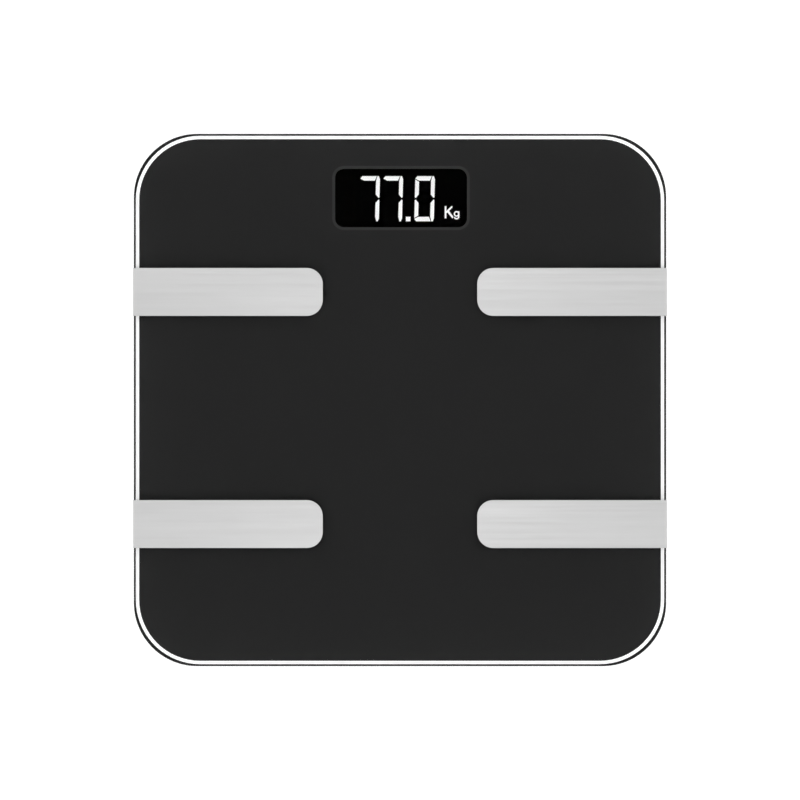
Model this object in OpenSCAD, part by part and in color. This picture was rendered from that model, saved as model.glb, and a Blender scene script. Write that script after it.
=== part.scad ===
// Digital bathroom scale: glass platform, four electrode strips, lit display, moulded base.
// Origin at the middle of the floor under the scale, +Z up, +Y towards the display, +X right.
// All sizes are in millimetres.

/* [Platform] */
// Width of the glass platform, left to right
platform_w = 280; // [240:1:340]
// Depth of the glass platform, front to back
platform_d = 280; // [240:1:340]
// Thickness of the tempered glass
glass_t = 5; // [4:0.5:8]
// Corner radius of the glass
corner_r = 33.4; // [26:0.2:42]
// Polished bevel round both faces of the glass
glass_bevel = 0.4; // [0.2:0.1:1]

/* [Printed film] */
// Thickness of the printed film under the glass
film_t = 0.2; // [0.1:0.05:0.4]
// Width of the dark band outside the border line
edge_band_w = 0.84; // [0.6:0.02:3]
// Width of the white border line
border_line_w = 1.75; // [0.8:0.05:4]
// How much rounder the border line's outer corner is than the glass corner
border_round = 0.5; // [0:0.1:2]
// Width of the grey line printed round the display window
window_line_w = 1.5; // [0.5:0.1:3]

/* [Display window] */
// Width of the clear window
window_w = 69.5; // [66:0.5:84]
// Depth of the clear window
window_d = 30.8; // [28:0.2:37]
// Corner radius of the window
window_r = 4.7; // [2:0.1:8]
// Distance from the rear edge of the glass to the window
window_margin = 18.2; // [15:0.2:22]
// Sideways offset of the window from the centre line
window_shift = 0.55; // [-2:0.05:2]

/* [Digits] */
// Height of a digit
digit_h = 23.8; // [18:0.2:26]
// Width of a digit before it leans
digit_w = 10.33; // [8:0.1:11]
// Width of an upright bar
bar_w = 2; // [1.6:0.05:2.6]
// Height of a level bar
bar_h = 2.35; // [1.8:0.05:3]
// Lean of the digits in degrees
digit_lean = 1.5; // [0:0.5:3]
// Step from one digit to the next
digit_pitch = 12.2; // [11.5:0.1:12.4]
// Extra room that the decimal point takes
point_room = 4.6; // [4:0.1:5]
// Side of the square decimal point
point_size = 2.4; // [1.6:0.1:3]

/* [Electrodes] */
// Width of an electrode strip, front to back
electrode_w = 25.2; // [18:0.2:31]
// Length of an electrode strip from the glass edge
electrode_l = 99.4; // [70:0.2:112]
// Corner radius at a strip's inner end
electrode_r = 8.4; // [3:0.2:9]
// Sheet thickness of the strips
electrode_t = 0.3; // [0.2:0.05:0.5]
// Gap between the window and the rear pair of strips
rear_strip_gap = 21.6; // [12:0.2:26]
// Distance from the front edge of the glass to the front pair
front_strip_margin = 62.2; // [52:0.2:75]
// Width of the flange folded back under the glass edge
flange_w = 3.3; // [2:0.1:3.6]
// Width of the contact tab that runs inwards from the flange
tab_w = 4; // [3:0.5:6]
// How far the contact tab reaches past the flange
tab_l = 8; // [7:0.5:12]

/* [Base shell] */
// Height of the shell's underside above the floor
foot_stand = 4.5; // [4:0.1:7]
// How far the shell stands in from the glass edge
shell_inset = 4; // [3.8:0.2:7]
// Thickness of the shell's side wall
shell_wall = 2.5; // [2:0.1:3.5]
// Thickness of the shell's floor
shell_floor = 2.2; // [1.8:0.1:2.6]
// Bevel round the shell's bottom edge
shell_bevel = 4; // [2:0.2:6]
// Thickness of the foam tape between shell and glass
tape_t = 0.8; // [0.5:0.1:1.2]
// Thickness of the stiffening ribs
rib_t = 1.6; // [1.2:0.1:2.4]
// Height of the stiffening ribs above the floor
rib_h = 3.2; // [2:0.2:3.6]
// Distance between neighbouring ribs
rib_pitch = 24; // [18:1:40]

/* [Feet] */
// Distance from the glass edges to each foot's centre
foot_margin = 42; // [36:0.5:50]
// Radius of the foot cup
foot_r = 20; // [19.4:0.1:24]
// Gap between the foot cup and its well
foot_gap = 1; // [0.6:0.1:1.6]
// Wall thickness of the well
well_wall = 1.8; // [1.4:0.1:2.6]
// Thickness of the well's roof
roof_t = 2.6; // [2.2:0.1:3.2]
// Thickness of the rubber foot pad
pad_t = 2.4; // [2:0.1:3]
// Depth that the pad sits in the cup
pad_sink = 1; // [0.6:0.1:1.2]
// Radial gap round the pad in the cup
pad_gap = 0.1; // [0.05:0.05:0.3]
// Width of the rim round the pad
pad_rim_w = 1.9; // [1.6:0.1:2.6]
// Drop of a foot cup when the scale is lifted
foot_play = 0.2; // [0.1:0.1:0.5]

/* [Load cells] */
// Side of the square load cell
gauge_plate_w = 28; // [24:0.2:28.6]
// Thickness of the load cell plate
gauge_plate_t = 2; // [1.5:0.1:2.6]
// Corner radius of the load cell plate
gauge_plate_r = 3; // [1:0.2:5]
// Width of the bending tongue
tongue_w = 11; // [9:0.2:13]
// Length of the bending tongue
tongue_l = 17; // [14:0.2:18]
// Width of the slot round the tongue
tongue_slot = 1.6; // [1.2:0.1:2]
// Height of the load cell above the shell's underside
gauge_lift = 3.9; // [3.6:0.1:5]
// Radius of the cup's boss under the tongue
boss_r = 6; // [4:0.2:6.4]

/* [Circuit board] */
// Width of the board beyond the display housing on each side
board_side = 8.25; // [7.5:0.05:10]
// Depth of the board in front of the display housing
board_apron = 9; // [8:0.1:12]
// Depth of the board behind the display housing
board_back = 2.4; // [2:0.1:4]
// Thickness of the board
board_t = 1.2; // [0.8:0.2:1.6]
// Height of the board above the shell's floor
board_lift = 5.5; // [5.2:0.1:6]
// Margin of the screw holes from the board's edges
screw_margin = 3.5; // [3:0.1:5]
// Shank radius of the board screws
screw_r = 1.25; // [1:0.05:1.5]
// Wall of the display housing round the window
housing_wall = 2; // [1.6:0.1:2.4]
// Thickness of the gasket between housing and glass
gasket_t = 1; // [0.6:0.1:1.4]

/* [Battery bay] */
// Diameter of a battery cell
battery_d = 10.5; // [10:0.1:14.5]
// Length of a battery cell over its nub
battery_l = 44.5; // [40:0.1:54]
// Gap between neighbouring cells
battery_gap = 0.8; // [0.4:0.1:1.4]
// Room for the contact spring at a cell's flat end
spring_room = 5.3; // [4:0.1:7]
// Thickness of the contact plates
contact_t = 0.4; // [0.3:0.05:0.6]
// Distance of the bay's middle from the centre line, towards the rear
bay_y = 28; // [20:0.5:32]
// Thickness of the bay's walls and hood
hood_t = 1.2; // [1:0.1:1.8]
// How far the door reaches past the bay on each side
door_lap = 3; // [2.6:0.1:4]
// Thickness of the battery door
door_t = 1.8; // [1.5:0.1:2.1]
// Gap round the door
door_gap = 0.3; // [0.2:0.05:0.5]
// Thickness of the foam pad inside the door
door_foam_t = 0.9; // [0.5:0.1:1.5]
// Radius of the door's hinge barrel
barrel_r = 1.5; // [1.3:0.05:1.8]
// Radius of the door's hinge pins
hinge_pin_r = 0.8; // [0.6:0.05:1]

/* [Unit button] */
// Distance of the button from the centre line, towards the right
button_x = 26; // [20:0.5:30]
// Radius of the button cap
button_r = 5; // [4:0.1:6]
// How far the button's face sits above the shell's underside
button_sink = 0.4; // [0.2:0.1:0.8]
// Travel of the button
button_travel = 0.5; // [0.3:0.1:0.6]
// Side of the switch body
switch_w = 6; // [5:0.5:8]
// Height of the switch body
switch_h = 3.5; // [3:0.1:3.8]

/* [Hidden] */
$fn = 96;
fit_gap = 0.05;
slip = 0.1;
sides = [-1, 1];

// Heights, from the floor up
shell_z = foot_stand;
floor_z = shell_z + shell_floor;
battery_z = shell_z + door_t + door_foam_t + slip;
hood_z = battery_z + battery_d + 2 * slip;
film_z = hood_z + hood_t + 0.6;
rim_z = film_z - tape_t;
glass_z = film_z + film_t;
top_z = glass_z + glass_t;
gauge_z = shell_z + gauge_lift;
roof_z = gauge_z + gauge_plate_t;
roof_top = roof_z + roof_t;
board_z = floor_z + board_lift;
board_top = board_z + board_t;
led_t = 0.6;
plug_z = board_top + 2 * led_t;
housing_top = film_z - gasket_t;

// Plan of the shell
shell_w = platform_w - 2 * shell_inset;
shell_d = platform_d - 2 * shell_inset;
shell_r = corner_r - shell_inset;

// Feet: left and right, front and rear
foot_x = platform_w / 2 - foot_margin;
foot_y = platform_d / 2 - foot_margin;
FEET = [[-1, -1], [1, -1], [-1, 1], [1, 1]];
well_r = foot_r + foot_gap;
well_out = well_r + well_wall;
pad_r = foot_r - pad_rim_w;
pad_roof = pad_t;
rim_clear_z = pad_t - pad_sink;
leg_r = well_r - 5.8;
leg_t = 1.4;
leg_w = 5;
hook_out = 1.3;
hook_z = roof_top + foot_play;
hook_h = 1.6;
wire_slot_w = 4;
lead_slot_in = 12;
notch_w = 4;

// Window, strips and border line
window_x = window_shift;
window_y = platform_d / 2 - window_margin - window_d / 2;
strip_rear_y = window_y - window_d / 2 - rear_strip_gap - electrode_w / 2;
strip_front_y = front_strip_margin - platform_d / 2 + electrode_w / 2;
flange_top = film_z;
line_r = corner_r + border_round;

// Display and board
housing_w = window_w + 2 * housing_wall;
housing_d = window_d + 2 * housing_wall;
board_w = housing_w + 2 * board_side;
board_d = housing_d + board_apron + board_back;
board_x = window_x;
board_y = window_y + (board_back - board_apron) / 2;
connector_y = board_y - board_d / 2 + 2.5;
connector_face = connector_y - 2;
connector_h = 3.6;
wire_z = board_top + connector_h / 2;
screw_x = board_w / 2 - screw_margin;
screw_y = board_d / 2 - screw_margin;
button_y = board_y - 3;
flange_t = 1;
flange_z = floor_z + slip;
plunger_z = flange_z + flange_t;
plunger_r = 1.7;
button_flange_r = button_r + 1.3;

// Digits: the left corner of each and the bars that are lit, out of "abcdefg"
digit_y = window_y - 0.3 - digit_h / 2;
last_x = window_x + 6.95;
DIGITS = [
    [last_x - 3 * digit_pitch - point_room, ""],
    [last_x - 2 * digit_pitch - point_room, "abc"],
    [last_x - digit_pitch - point_room, "abc"],
    [last_x, "abcdef"],
];
point_x = last_x - point_room + 0.2;
legend_x = last_x + digit_w + 5.7;

// Battery bay, cells along X
bay_l = battery_l + spring_room + 2 * contact_t;
cell_pitch = battery_d + battery_gap;
bay_d = 3 * battery_d + 2 * battery_gap + 1.8;
battery_mid = battery_z + battery_d / 2;
door_w = bay_l + 2 * door_lap;
door_d = bay_d + 2 * door_lap;
frame_wall = 3.5;
hinge_y = bay_y + door_d / 2 - barrel_r;
hinge_z = shell_z + barrel_r;
hinge_pin_l = 2;
cell_y = [bay_y - cell_pitch, bay_y, bay_y + cell_pitch];

// ---- Shared shapes ----

// Flat rectangle with round corners
module rounded(w, d, r) {
    square([w - 2 * r, d], center = true);
    square([w, d - 2 * r], center = true);
    for (x = sides, y = sides)
        translate([x * (w / 2 - r), y * (d / 2 - r)]) circle(r);
}

// Flat ring between two rounded rectangles
module rounded_ring(w, d, r, wall) {
    difference() {
        rounded(w, d, r);
        rounded(w - 2 * wall, d - 2 * wall, max(r - wall, 0.5));
    }
}

// Plate with round corners and bevelled edges, standing on z = 0
module bevelled_plate(w, d, r, t, low, high) {
    for (x = sides, y = sides)
        translate([x * (w / 2 - r), y * (d / 2 - r), 0])
            rotate_extrude()
                polygon([[0, 0], [r - low, 0], [r, low], [r, t - high], [r - high, t], [0, t]]);
    rotate([90, 0, 90])
        linear_extrude(w - 2 * r, center = true) bevelled_outline(d, t, low, high);
    rotate([90, 0, 0])
        linear_extrude(d - 2 * r, center = true) bevelled_outline(w, t, low, high);
}

// Cross-section of a plate with bevelled edges
module bevelled_outline(w, t, low, high) {
    polygon([
        [low - w / 2, 0], [w / 2 - low, 0], [w / 2, low], [w / 2, t - high],
        [w / 2 - high, t], [high - w / 2, t], [-w / 2, t - high], [-w / 2, low],
    ]);
}

// Block given by its middle in plan, its size and its bottom
module block(x, y, z, w, d, h) {
    translate([x - w / 2, y - d / 2, z]) cube([w, d, h]);
}

// Upright rod standing on z
module rod(x, y, z, r, h) {
    translate([x, y, z]) cylinder(h = h, r = r);
}

function unit(v) = v / norm(v);

function run_of(p) = [
    for (i = [0 : len(p) - 1]) unit(p[min(i + 1, len(p) - 1)] - p[max(i - 1, 0)])
];

function across(t) = unit(cross(t, abs(t[2]) > 0.9 ? [1, 0, 0] : [0, 0, 1]));

// Side directions carried along a path without twisting
function carried(t, n, i) = i == len(t) ? [] :
    let (m = unit(n - (n * t[i]) * t[i])) concat([m], carried(t, m, i + 1));

function between(a, b, c, d, u) =
    0.5 * (2 * b + u * (c - a) + u * u * (2 * a - 5 * b + 4 * c - d) + u * u * u * (3 * b - a - 3 * c + d));

// Smooth path through a route's points
function smooth(p, steps) = concat(
    [
        for (i = [0 : len(p) - 2], s = [0 : steps - 1])
            between(p[max(i - 1, 0)], p[i], p[i + 1], p[min(i + 2, len(p) - 1)], s / steps)
    ],
    [p[len(p) - 1]]
);

// Round tube swept along a path
module swept(p, r, n = 8) {
    t = run_of(p);
    m = carried(t, across(t[0]), 0);
    points = [
        for (i = [0 : len(p) - 1], k = [0 : n - 1])
            let (a = 360 * k / n) p[i] + r * (cos(a) * m[i] + sin(a) * cross(t[i], m[i]))
    ];
    ends = [[for (k = [0 : n - 1]) k], [for (k = [1 : n]) n * len(p) - k]];
    walls = [
        for (i = [0 : len(p) - 2], k = [0 : n - 1], half = [0, 1])
            let (a = n * i + k, b = n * i + (k + 1) % n)
                half == 0 ? [a, a + n, b + n] : [a, b + n, b]
    ];
    polyhedron(points, concat(ends, walls));
}

// ---- Platform ----

module glass_platform() {
    color([0.16, 0.18, 0.18, 0.5])
        translate([0, 0, glass_z])
            bevelled_plate(platform_w, platform_d, corner_r, glass_t, glass_bevel, glass_bevel);
}

module border_shape(grow) {
    inset = edge_band_w + grow;
    rounded(platform_w - 2 * inset, platform_d - 2 * inset, line_r - grow);
}

module window_shape(grow) {
    translate([window_x, window_y])
        rounded(window_w + 2 * grow, window_d + 2 * grow, window_r + grow);
}

module backing_film() {
    color([0.15, 0.15, 0.15])
        translate([0, 0, film_z]) linear_extrude(film_t) {
            difference() {
                border_shape(border_line_w);
                window_shape(window_line_w);
            }
            difference() {
                rounded(platform_w, platform_d, corner_r);
                border_shape(0);
            }
        }
}

module border_line() {
    color("white")
        translate([0, 0, film_z]) linear_extrude(film_t) difference() {
            border_shape(0);
            border_shape(border_line_w);
        }
}

module window_frame_print() {
    color([0.2, 0.2, 0.2])
        translate([0, 0, film_z]) linear_extrude(film_t) difference() {
            window_shape(window_line_w);
            window_shape(0);
        }
}

// ---- Electrodes ----

// Strip for the right side: top face, wrap round the edge, flange and contact tab
module electrode(y) {
    edge = platform_w / 2;
    fold_z = flange_top - electrode_t;
    tab_end = edge - flange_w - tab_l;
    color([0.82, 0.82, 0.82]) translate([0, y, 0]) {
        translate([0, 0, top_z]) linear_extrude(electrode_t) {
            translate([edge - electrode_l + electrode_r, -electrode_w / 2])
                square([electrode_l - electrode_r + electrode_t, electrode_w]);
            translate([edge - electrode_l, electrode_r - electrode_w / 2])
                square([electrode_r, electrode_w - 2 * electrode_r]);
            for (s = sides)
                translate([edge - electrode_l + electrode_r, s * (electrode_w / 2 - electrode_r)])
                    circle(electrode_r);
        }
        translate([edge, -electrode_w / 2, fold_z])
            cube([electrode_t, electrode_w, top_z - fold_z]);
        translate([edge - flange_w, -electrode_w / 2, fold_z])
            cube([flange_w, electrode_w, electrode_t]);
        translate([tab_end, -tab_w / 2, fold_z]) cube([tab_l, tab_w, electrode_t]);
    }
}

module electrode_upper_right() { electrode(strip_rear_y); }
module electrode_upper_left() { mirror([1, 0, 0]) electrode(strip_rear_y); }
module electrode_lower_right() { electrode(strip_front_y); }
module electrode_lower_left() { mirror([1, 0, 0]) electrode(strip_front_y); }

// ---- Tape and display ----

module bonding_tape() {
    notch_l = 2 * (shell_wall + 2);
    color([0.1, 0.1, 0.1]) difference() {
        translate([0, 0, rim_z]) linear_extrude(tape_t) {
            rounded_ring(shell_w, shell_d, shell_r, shell_wall);
            for (f = FEET)
                translate([f[0] * foot_x, f[1] * foot_y]) difference() {
                    circle(well_out);
                    circle(well_r);
                }
        }
        for (x = sides, y = [strip_rear_y, strip_front_y])
            block(x * shell_w / 2, y, rim_z - 1, notch_l, tab_w + 1, tape_t + 2);
    }
}

module display_gasket() {
    color([0.12, 0.12, 0.12])
        translate([window_x, window_y, housing_top])
            linear_extrude(gasket_t)
                rounded_ring(housing_w, housing_d, window_r + housing_wall, housing_wall);
}

// Outline of the bar at the top of a digit
function top_bar() = [
    [0, digit_h - 1.3], [1, digit_h], [digit_w - bar_w + 0.3, digit_h],
    [digit_w - bar_w - 0.6, digit_h - bar_h], [2, digit_h - bar_h],
];

// Outline of the upper right bar, which takes in the top corner
function upper_right_bar() = [
    [digit_w - bar_w + 0.65, digit_h], [digit_w - 0.6, digit_h], [digit_w, digit_h - 1.5],
    [digit_w, digit_h / 2 + 0.8], [digit_w - 0.5, digit_h / 2 + 0.45],
    [digit_w - bar_w, digit_h / 2 + 0.25 + bar_w], [digit_w - bar_w, digit_h - bar_h - 0.1],
];

// Outline of the upper left bar, which starts below the top bar's slanted end
function upper_left_bar() = [
    [0, digit_h - 1.75], [bar_w, digit_h - bar_h - 0.65],
    [bar_w, digit_h / 2 + 0.25 + bar_w], [0.5, digit_h / 2 + 0.45], [0, digit_h / 2 + 0.8],
];

// Outline of the middle bar
function middle_bar() = [
    [0.65, digit_h / 2], [2, digit_h / 2 + bar_h / 2],
    [digit_w - 2, digit_h / 2 + bar_h / 2], [digit_w - 0.65, digit_h / 2],
    [digit_w - 2, digit_h / 2 - bar_h / 2], [2, digit_h / 2 - bar_h / 2],
];

function flipped(p) = [for (i = [len(p) - 1 : -1 : 0]) [p[i][0], digit_h - p[i][1]]];
function leaning(p) = [for (q = p) [q[0] + q[1] * tan(digit_lean), q[1]]];

BARS = [
    ["a", top_bar()], ["b", upper_right_bar()], ["c", flipped(upper_right_bar())],
    ["d", flipped(top_bar())], ["e", flipped(upper_left_bar())],
    ["f", upper_left_bar()], ["g", middle_bar()],
];

// Bars of the digits: lit, unlit, or all of them
module bars(lit, unlit) {
    for (d = DIGITS, b = BARS) {
        on = len(search(b[0], d[1])) > 0;
        if (on && lit || !on && unlit)
            translate([d[0], digit_y]) polygon(leaning(b[1]));
    }
}

module decimal_point() {
    translate([point_x, digit_y]) square(point_size);
}

// Unit legend in plain strokes: a capital K and a small g
module legend_shape() {
    translate([legend_x, digit_y + 1.6]) {
        square([0.95, 6.4]);
        polygon([[0.95, 2.6], [4.1, 5.7], [4.1, 6.4], [3.6, 6.4], [0.95, 3.9]]);
        polygon([[1.3, 3.3], [2.2, 4.1], [4.7, 0.7], [4.2, 0], [3.7, 0.35]]);
    }
    translate([legend_x + 6.3, digit_y + 3.9]) {
        difference() {
            circle(1.5);
            circle(0.8);
        }
        translate([0.8, -1.8]) square([0.7, 3.2]);
        difference() {
            translate([0, -1.4]) circle(1.5);
            translate([0, -1.4]) circle(0.8);
            translate([-2, -1.65]) square([4, 3]);
        }
    }
}

module display_housing() {
    color([0.02, 0.02, 0.02]) difference() {
        translate([window_x, window_y, board_top])
            linear_extrude(housing_top - board_top)
                rounded(housing_w, housing_d, window_r + housing_wall);
        translate([0, 0, board_top - 1]) linear_extrude(housing_top - board_top + 2) {
            bars(true, true);
            decimal_point();
            legend_shape();
        }
    }
}

module display_segments_lit() {
    color("white") translate([0, 0, plug_z]) linear_extrude(housing_top - plug_z) {
        bars(true, false);
        decimal_point();
    }
}

module display_segments_unlit() {
    color([0.05, 0.05, 0.05])
        translate([0, 0, plug_z]) linear_extrude(housing_top - plug_z) bars(false, true);
}

module unit_legend() {
    color("white")
        translate([0, 0, plug_z]) linear_extrude(housing_top - plug_z) legend_shape();
}

// Middle of a bar, for its light
function middle(p) = [for (k = [0, 1])
    let (v = [for (q = leaning(p)) q[k]]) (min(v) + max(v)) / 2];

module display_leds() {
    led = 1.2;
    color([0.95, 0.9, 0.6]) {
        for (d = DIGITS, b = BARS) {
            m = middle(b[1]);
            block(d[0] + m[0], digit_y + m[1], board_top, led, led, led_t);
        }
        block(point_x + point_size / 2, digit_y + point_size / 2, board_top, led, led, led_t);
        block(legend_x + 0.475, digit_y + 4.8, board_top, 0.8, led, led_t);
        block(legend_x + 7.45, digit_y + 3.6, board_top, led / 2, led, led_t);
    }
}

PIN_PLACES = [
    for (x = [-4.5 : 1 : 4.5], y = sides) [window_x + 7 * x, window_y + y * (window_d / 2 - 1)]
];

module display_pins() {
    color([0.8, 0.75, 0.55])
        for (p = PIN_PLACES) rod(p[0], p[1], board_z - 1.2, 0.3, board_t + 1.2);
}

// ---- Circuit board ----

module screw_places() {
    for (x = sides, y = sides)
        translate([board_x + x * screw_x, board_y + y * screw_y, 0]) children();
}

module main_board() {
    color([0.06, 0.25, 0.12]) difference() {
        translate([board_x, board_y, board_z]) linear_extrude(board_t) rounded(board_w, board_d, 2);
        screw_places() rod(0, 0, board_z - 1, screw_r + 0.2, board_t + 2);
        for (p = PIN_PLACES) rod(p[0], p[1], board_z - 1, 0.3, board_t + 2);
    }
}

module board_screws() {
    head_r = 2.4;
    head_h = 1.7;
    color([0.75, 0.75, 0.78]) screw_places() difference() {
        union() {
            rod(0, 0, board_top, head_r, head_h);
            rod(0, 0, floor_z + 1, screw_r, board_top - floor_z - 1);
        }
        for (a = [0, 90])
            rotate([0, 0, a]) block(0, 0, board_top + 0.7, 0.6, 3, head_h);
    }
}

module controller_chip() {
    leg_pitch = 0.8;
    chip_w = 10;
    chip_x = board_x - 8;
    color([0.06, 0.06, 0.07]) {
        block(chip_x, board_y, board_z - 1.5, chip_w, chip_w, 1.4);
        for (i = [-5 : 5], s = sides) {
            block(chip_x + i * leg_pitch, board_y + s * (chip_w + 1) / 2, board_z - 0.4, 0.35, 1, 0.4);
            block(chip_x + s * (chip_w + 1) / 2, board_y + i * leg_pitch, board_z - 0.4, 1, 0.35, 0.4);
        }
    }
}

module board_components() {
    color([0.55, 0.42, 0.3]) {
        for (i = [0 : 6])
            block(board_x - 34 + 4 * i, board_y + 14, board_z - 0.6, 2, 1.25, 0.6);
        for (i = [0 : 4])
            block(board_x - 30 + 4 * i, board_y - 14, board_z - 0.6, 2, 1.25, 0.6);
        for (i = [0 : 3])
            block(board_x - 24, board_y - 6 + 4 * i, board_z - 1.1, 1.6, 3, 1.1);
        rod(board_x + 14, board_y + 14, board_z - 4, 2.5, 4);
        rod(board_x + 21, board_y + 14, board_z - 4, 2.5, 4);
    }
}

module crystal() {
    can_l = 6.5;
    color([0.8, 0.8, 0.82]) translate([board_x + 5, board_y - 5, board_z - 2.4])
        linear_extrude(2.4) rounded(can_l + 4, 4.5, 2.2);
}

module radio_antenna() {
    track = 0.6;
    left = board_x - board_w / 2 + 1;
    low = board_y - 9;
    color([0.72, 0.45, 0.2]) {
        for (i = [0 : 5]) block(left + 2.5, low + 3 * i, board_top, 5, track, 0.1);
        for (i = [0 : 4])
            block(left + (i % 2 == 0 ? 4.7 : 0.3), low + 3 * i + 1.5, board_top, track, 3 + track, 0.1);
    }
}

// Connectors along the front of the board: middle of each and its width
SOCKETS = [[-34, 7], [-25.5, 7], [-17.5, 6], [-8, 6], [17.5, 6], [25.5, 7], [34, 7]];

module wire_connectors() {
    color([0.9, 0.88, 0.8]) for (s = SOCKETS)
        block(board_x + s[0], connector_y, board_top, s[1], 4, connector_h);
}

module switch_body() {
    color([0.1, 0.1, 0.11]) difference() {
        block(button_x, button_y, board_z - switch_h, switch_w, switch_w, switch_h);
        rod(button_x, button_y, board_z - switch_h - 1, plunger_r + fit_gap, button_travel + 1.4);
    }
}

module switch_plunger() {
    color([0.85, 0.85, 0.85])
        rod(button_x, button_y, plunger_z, plunger_r, board_z - switch_h + 0.3 - plunger_z);
}

// ---- Base shell ----

// Places a shape at foot i, turned so that its -Y side faces the centre line
module at_foot(i) {
    translate([FEET[i][0] * foot_x, FEET[i][1] * foot_y, 0])
        rotate([0, 0, -90 * FEET[i][0]]) children();
}

// Bay frame round the door, hood and everything cut from them
frame_w = door_w + 2 * (door_gap + frame_wall);
frame_d = door_d + 2 * (door_gap + frame_wall);
ledge_top = shell_z + 4.8;
board_front = board_y - board_d / 2;

module rib_outline() {
    clear = 6;
    span = ceil(max(shell_w, shell_d) / 2 / rib_pitch);
    inset = max(shell_wall, shell_bevel - shell_floor) + 0.8;
    difference() {
        intersection() {
            rounded(shell_w - 2 * inset, shell_d - 2 * inset, shell_r - inset);
            for (i = [-span : span]) {
                translate([i * rib_pitch - rib_t / 2, -shell_d / 2]) square([rib_t, shell_d]);
                translate([-shell_w / 2, i * rib_pitch - rib_t / 2]) square([shell_w, rib_t]);
            }
        }
        translate([-frame_w / 2, bay_y - frame_d / 2]) square([frame_w, frame_d]);
        translate([board_x - board_w / 2 - clear, board_front - clear])
            square([board_w + 2 * clear, shell_d]);
        for (f = FEET) translate([f[0] * foot_x, f[1] * foot_y]) circle(well_out - 0.5);
    }
}

module well_added() {
    rod(0, 0, shell_z, well_out, rim_z - shell_z);
}

module well_cut() {
    slot_depth = leg_t + 0.8;
    lead_slot_l = well_r - 1.5 - lead_slot_in;
    rod(0, 0, shell_z - 1, well_r, roof_z - shell_z + 1);
    rod(0, 0, roof_top, well_r, rim_z);
    block(0, 0, roof_z - 1, tongue_w + 5, 2 * lead_slot_in, 2.6);
    for (a = [0, 90, 180])
        rotate([0, 0, a])
            block(leg_r + leg_t / 2, 0, roof_z - 1, slot_depth, leg_w + 0.8, roof_t + 2);
    block(0, -lead_slot_in - lead_slot_l / 2, roof_z - 1, wire_slot_w, lead_slot_l, roof_t + 2);
    block(0, -well_r, roof_top, notch_w, 3 * well_wall, rim_z);
}

module well_ribs() {
    for (a = [45 : 90 : 315])
        rotate([0, 0, a]) block(well_r / 2 + 2, 0, roof_top - 0.5, well_r - 3, rib_t, 3.5);
}

module bay_cut() {
    block(0, bay_y, shell_z - 1, bay_l, bay_d, hood_z - shell_z + 1);
    block(0, bay_y, shell_z - 1, door_w + 2 * door_gap, door_d + 2 * door_gap, door_t + slip + 1);
    block(0, hinge_y, shell_z - 1, door_w + 2 * door_gap, 2 * (barrel_r + door_gap),
        2 * barrel_r + door_gap + 1);
    translate([0, hinge_y, hinge_z]) rotate([0, 90, 0])
        cylinder(h = door_w + 2 * hinge_pin_l + 0.6, r = hinge_pin_r + fit_gap, center = true);
    rod(0, bay_y - door_d / 2 - 2, shell_z - 1, 8, 2.5);
    for (s = sides)
        translate([s * (bay_l + hood_t) / 2, s > 0 ? cell_y[2] : cell_y[0], battery_mid + 3])
            rotate([0, 90, 0]) cylinder(h = 2 * hood_t, r = 0.8, center = true);
}

module base_shell() {
    inner = shell_r - shell_wall;
    color([0.13, 0.13, 0.14]) {
        difference() {
            union() {
                difference() {
                    translate([0, 0, shell_z])
                        bevelled_plate(shell_w, shell_d, shell_r, rim_z - shell_z, shell_bevel, 0.3);
                    translate([0, 0, floor_z])
                        bevelled_plate(shell_w - 2 * shell_wall, shell_d - 2 * shell_wall, inner,
                            rim_z - floor_z + 3, shell_bevel - 1, 1);
                }
                translate([0, 0, floor_z - 0.5]) linear_extrude(rib_h + 0.5) rib_outline();
                for (i = [0 : 3]) at_foot(i) well_added();
                block(0, bay_y, floor_z - 0.5, frame_w, frame_d, ledge_top - floor_z + 0.5);
                block(0, bay_y, floor_z, bay_l + 2 * hood_t, bay_d + 2 * hood_t, hood_z + hood_t - floor_z);
                screw_places() rod(0, 0, floor_z - 0.5, 3.2, board_lift + 0.5);
                rod(button_x, button_y, floor_z - 0.5, button_flange_r + 1.6, 2);
            }
            for (i = [0 : 3]) at_foot(i) well_cut();
            bay_cut();
            screw_places() rod(0, 0, floor_z + 1, screw_r, board_lift);
            rod(button_x, button_y, shell_z - 1, button_r + slip, shell_floor + 2);
            rod(button_x, button_y, floor_z, button_flange_r + 2 * slip, 3);
        }
        for (i = [0 : 3]) at_foot(i) well_ribs();
    }
}

module unit_button() {
    face_z = shell_z + button_sink;
    color([0.3, 0.3, 0.32]) translate([button_x, button_y, 0]) rotate_extrude()
        polygon([
            [0, face_z], [button_r - 0.4, face_z], [button_r, face_z + 0.4], [button_r, flange_z],
            [button_flange_r, flange_z], [button_flange_r, plunger_z], [0, plunger_z],
        ]);
}

module battery_door() {
    front = bay_y - door_d / 2;
    back = hinge_y - barrel_r / 2;
    tongue = 12;
    color([0.13, 0.13, 0.14]) difference() {
        union() {
            translate([0, 0, shell_z]) linear_extrude(door_t) {
                translate([-door_w / 2, front + 2]) square([door_w, back - front - 2]);
                translate([2 - door_w / 2, front]) square([door_w - 4, 3]);
                for (s = sides) translate([s * (door_w / 2 - 2), front + 2]) circle(2);
            }
            translate([0, hinge_y, hinge_z]) rotate([0, 90, 0]) {
                cylinder(h = door_w, r = barrel_r, center = true);
                cylinder(h = door_w + 2 * hinge_pin_l, r = hinge_pin_r, center = true);
            }
        }
        for (s = sides) block(s * (tongue + 1) / 2, front + 3.5, shell_z - 1, 1, 9, door_t + 2);
    }
}

module door_foam() {
    color([0.2, 0.2, 0.21])
        block(0, bay_y, shell_z + door_t, bay_l - 6, bay_d - 16, door_foam_t);
}

// ---- Batteries and contacts ----

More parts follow.
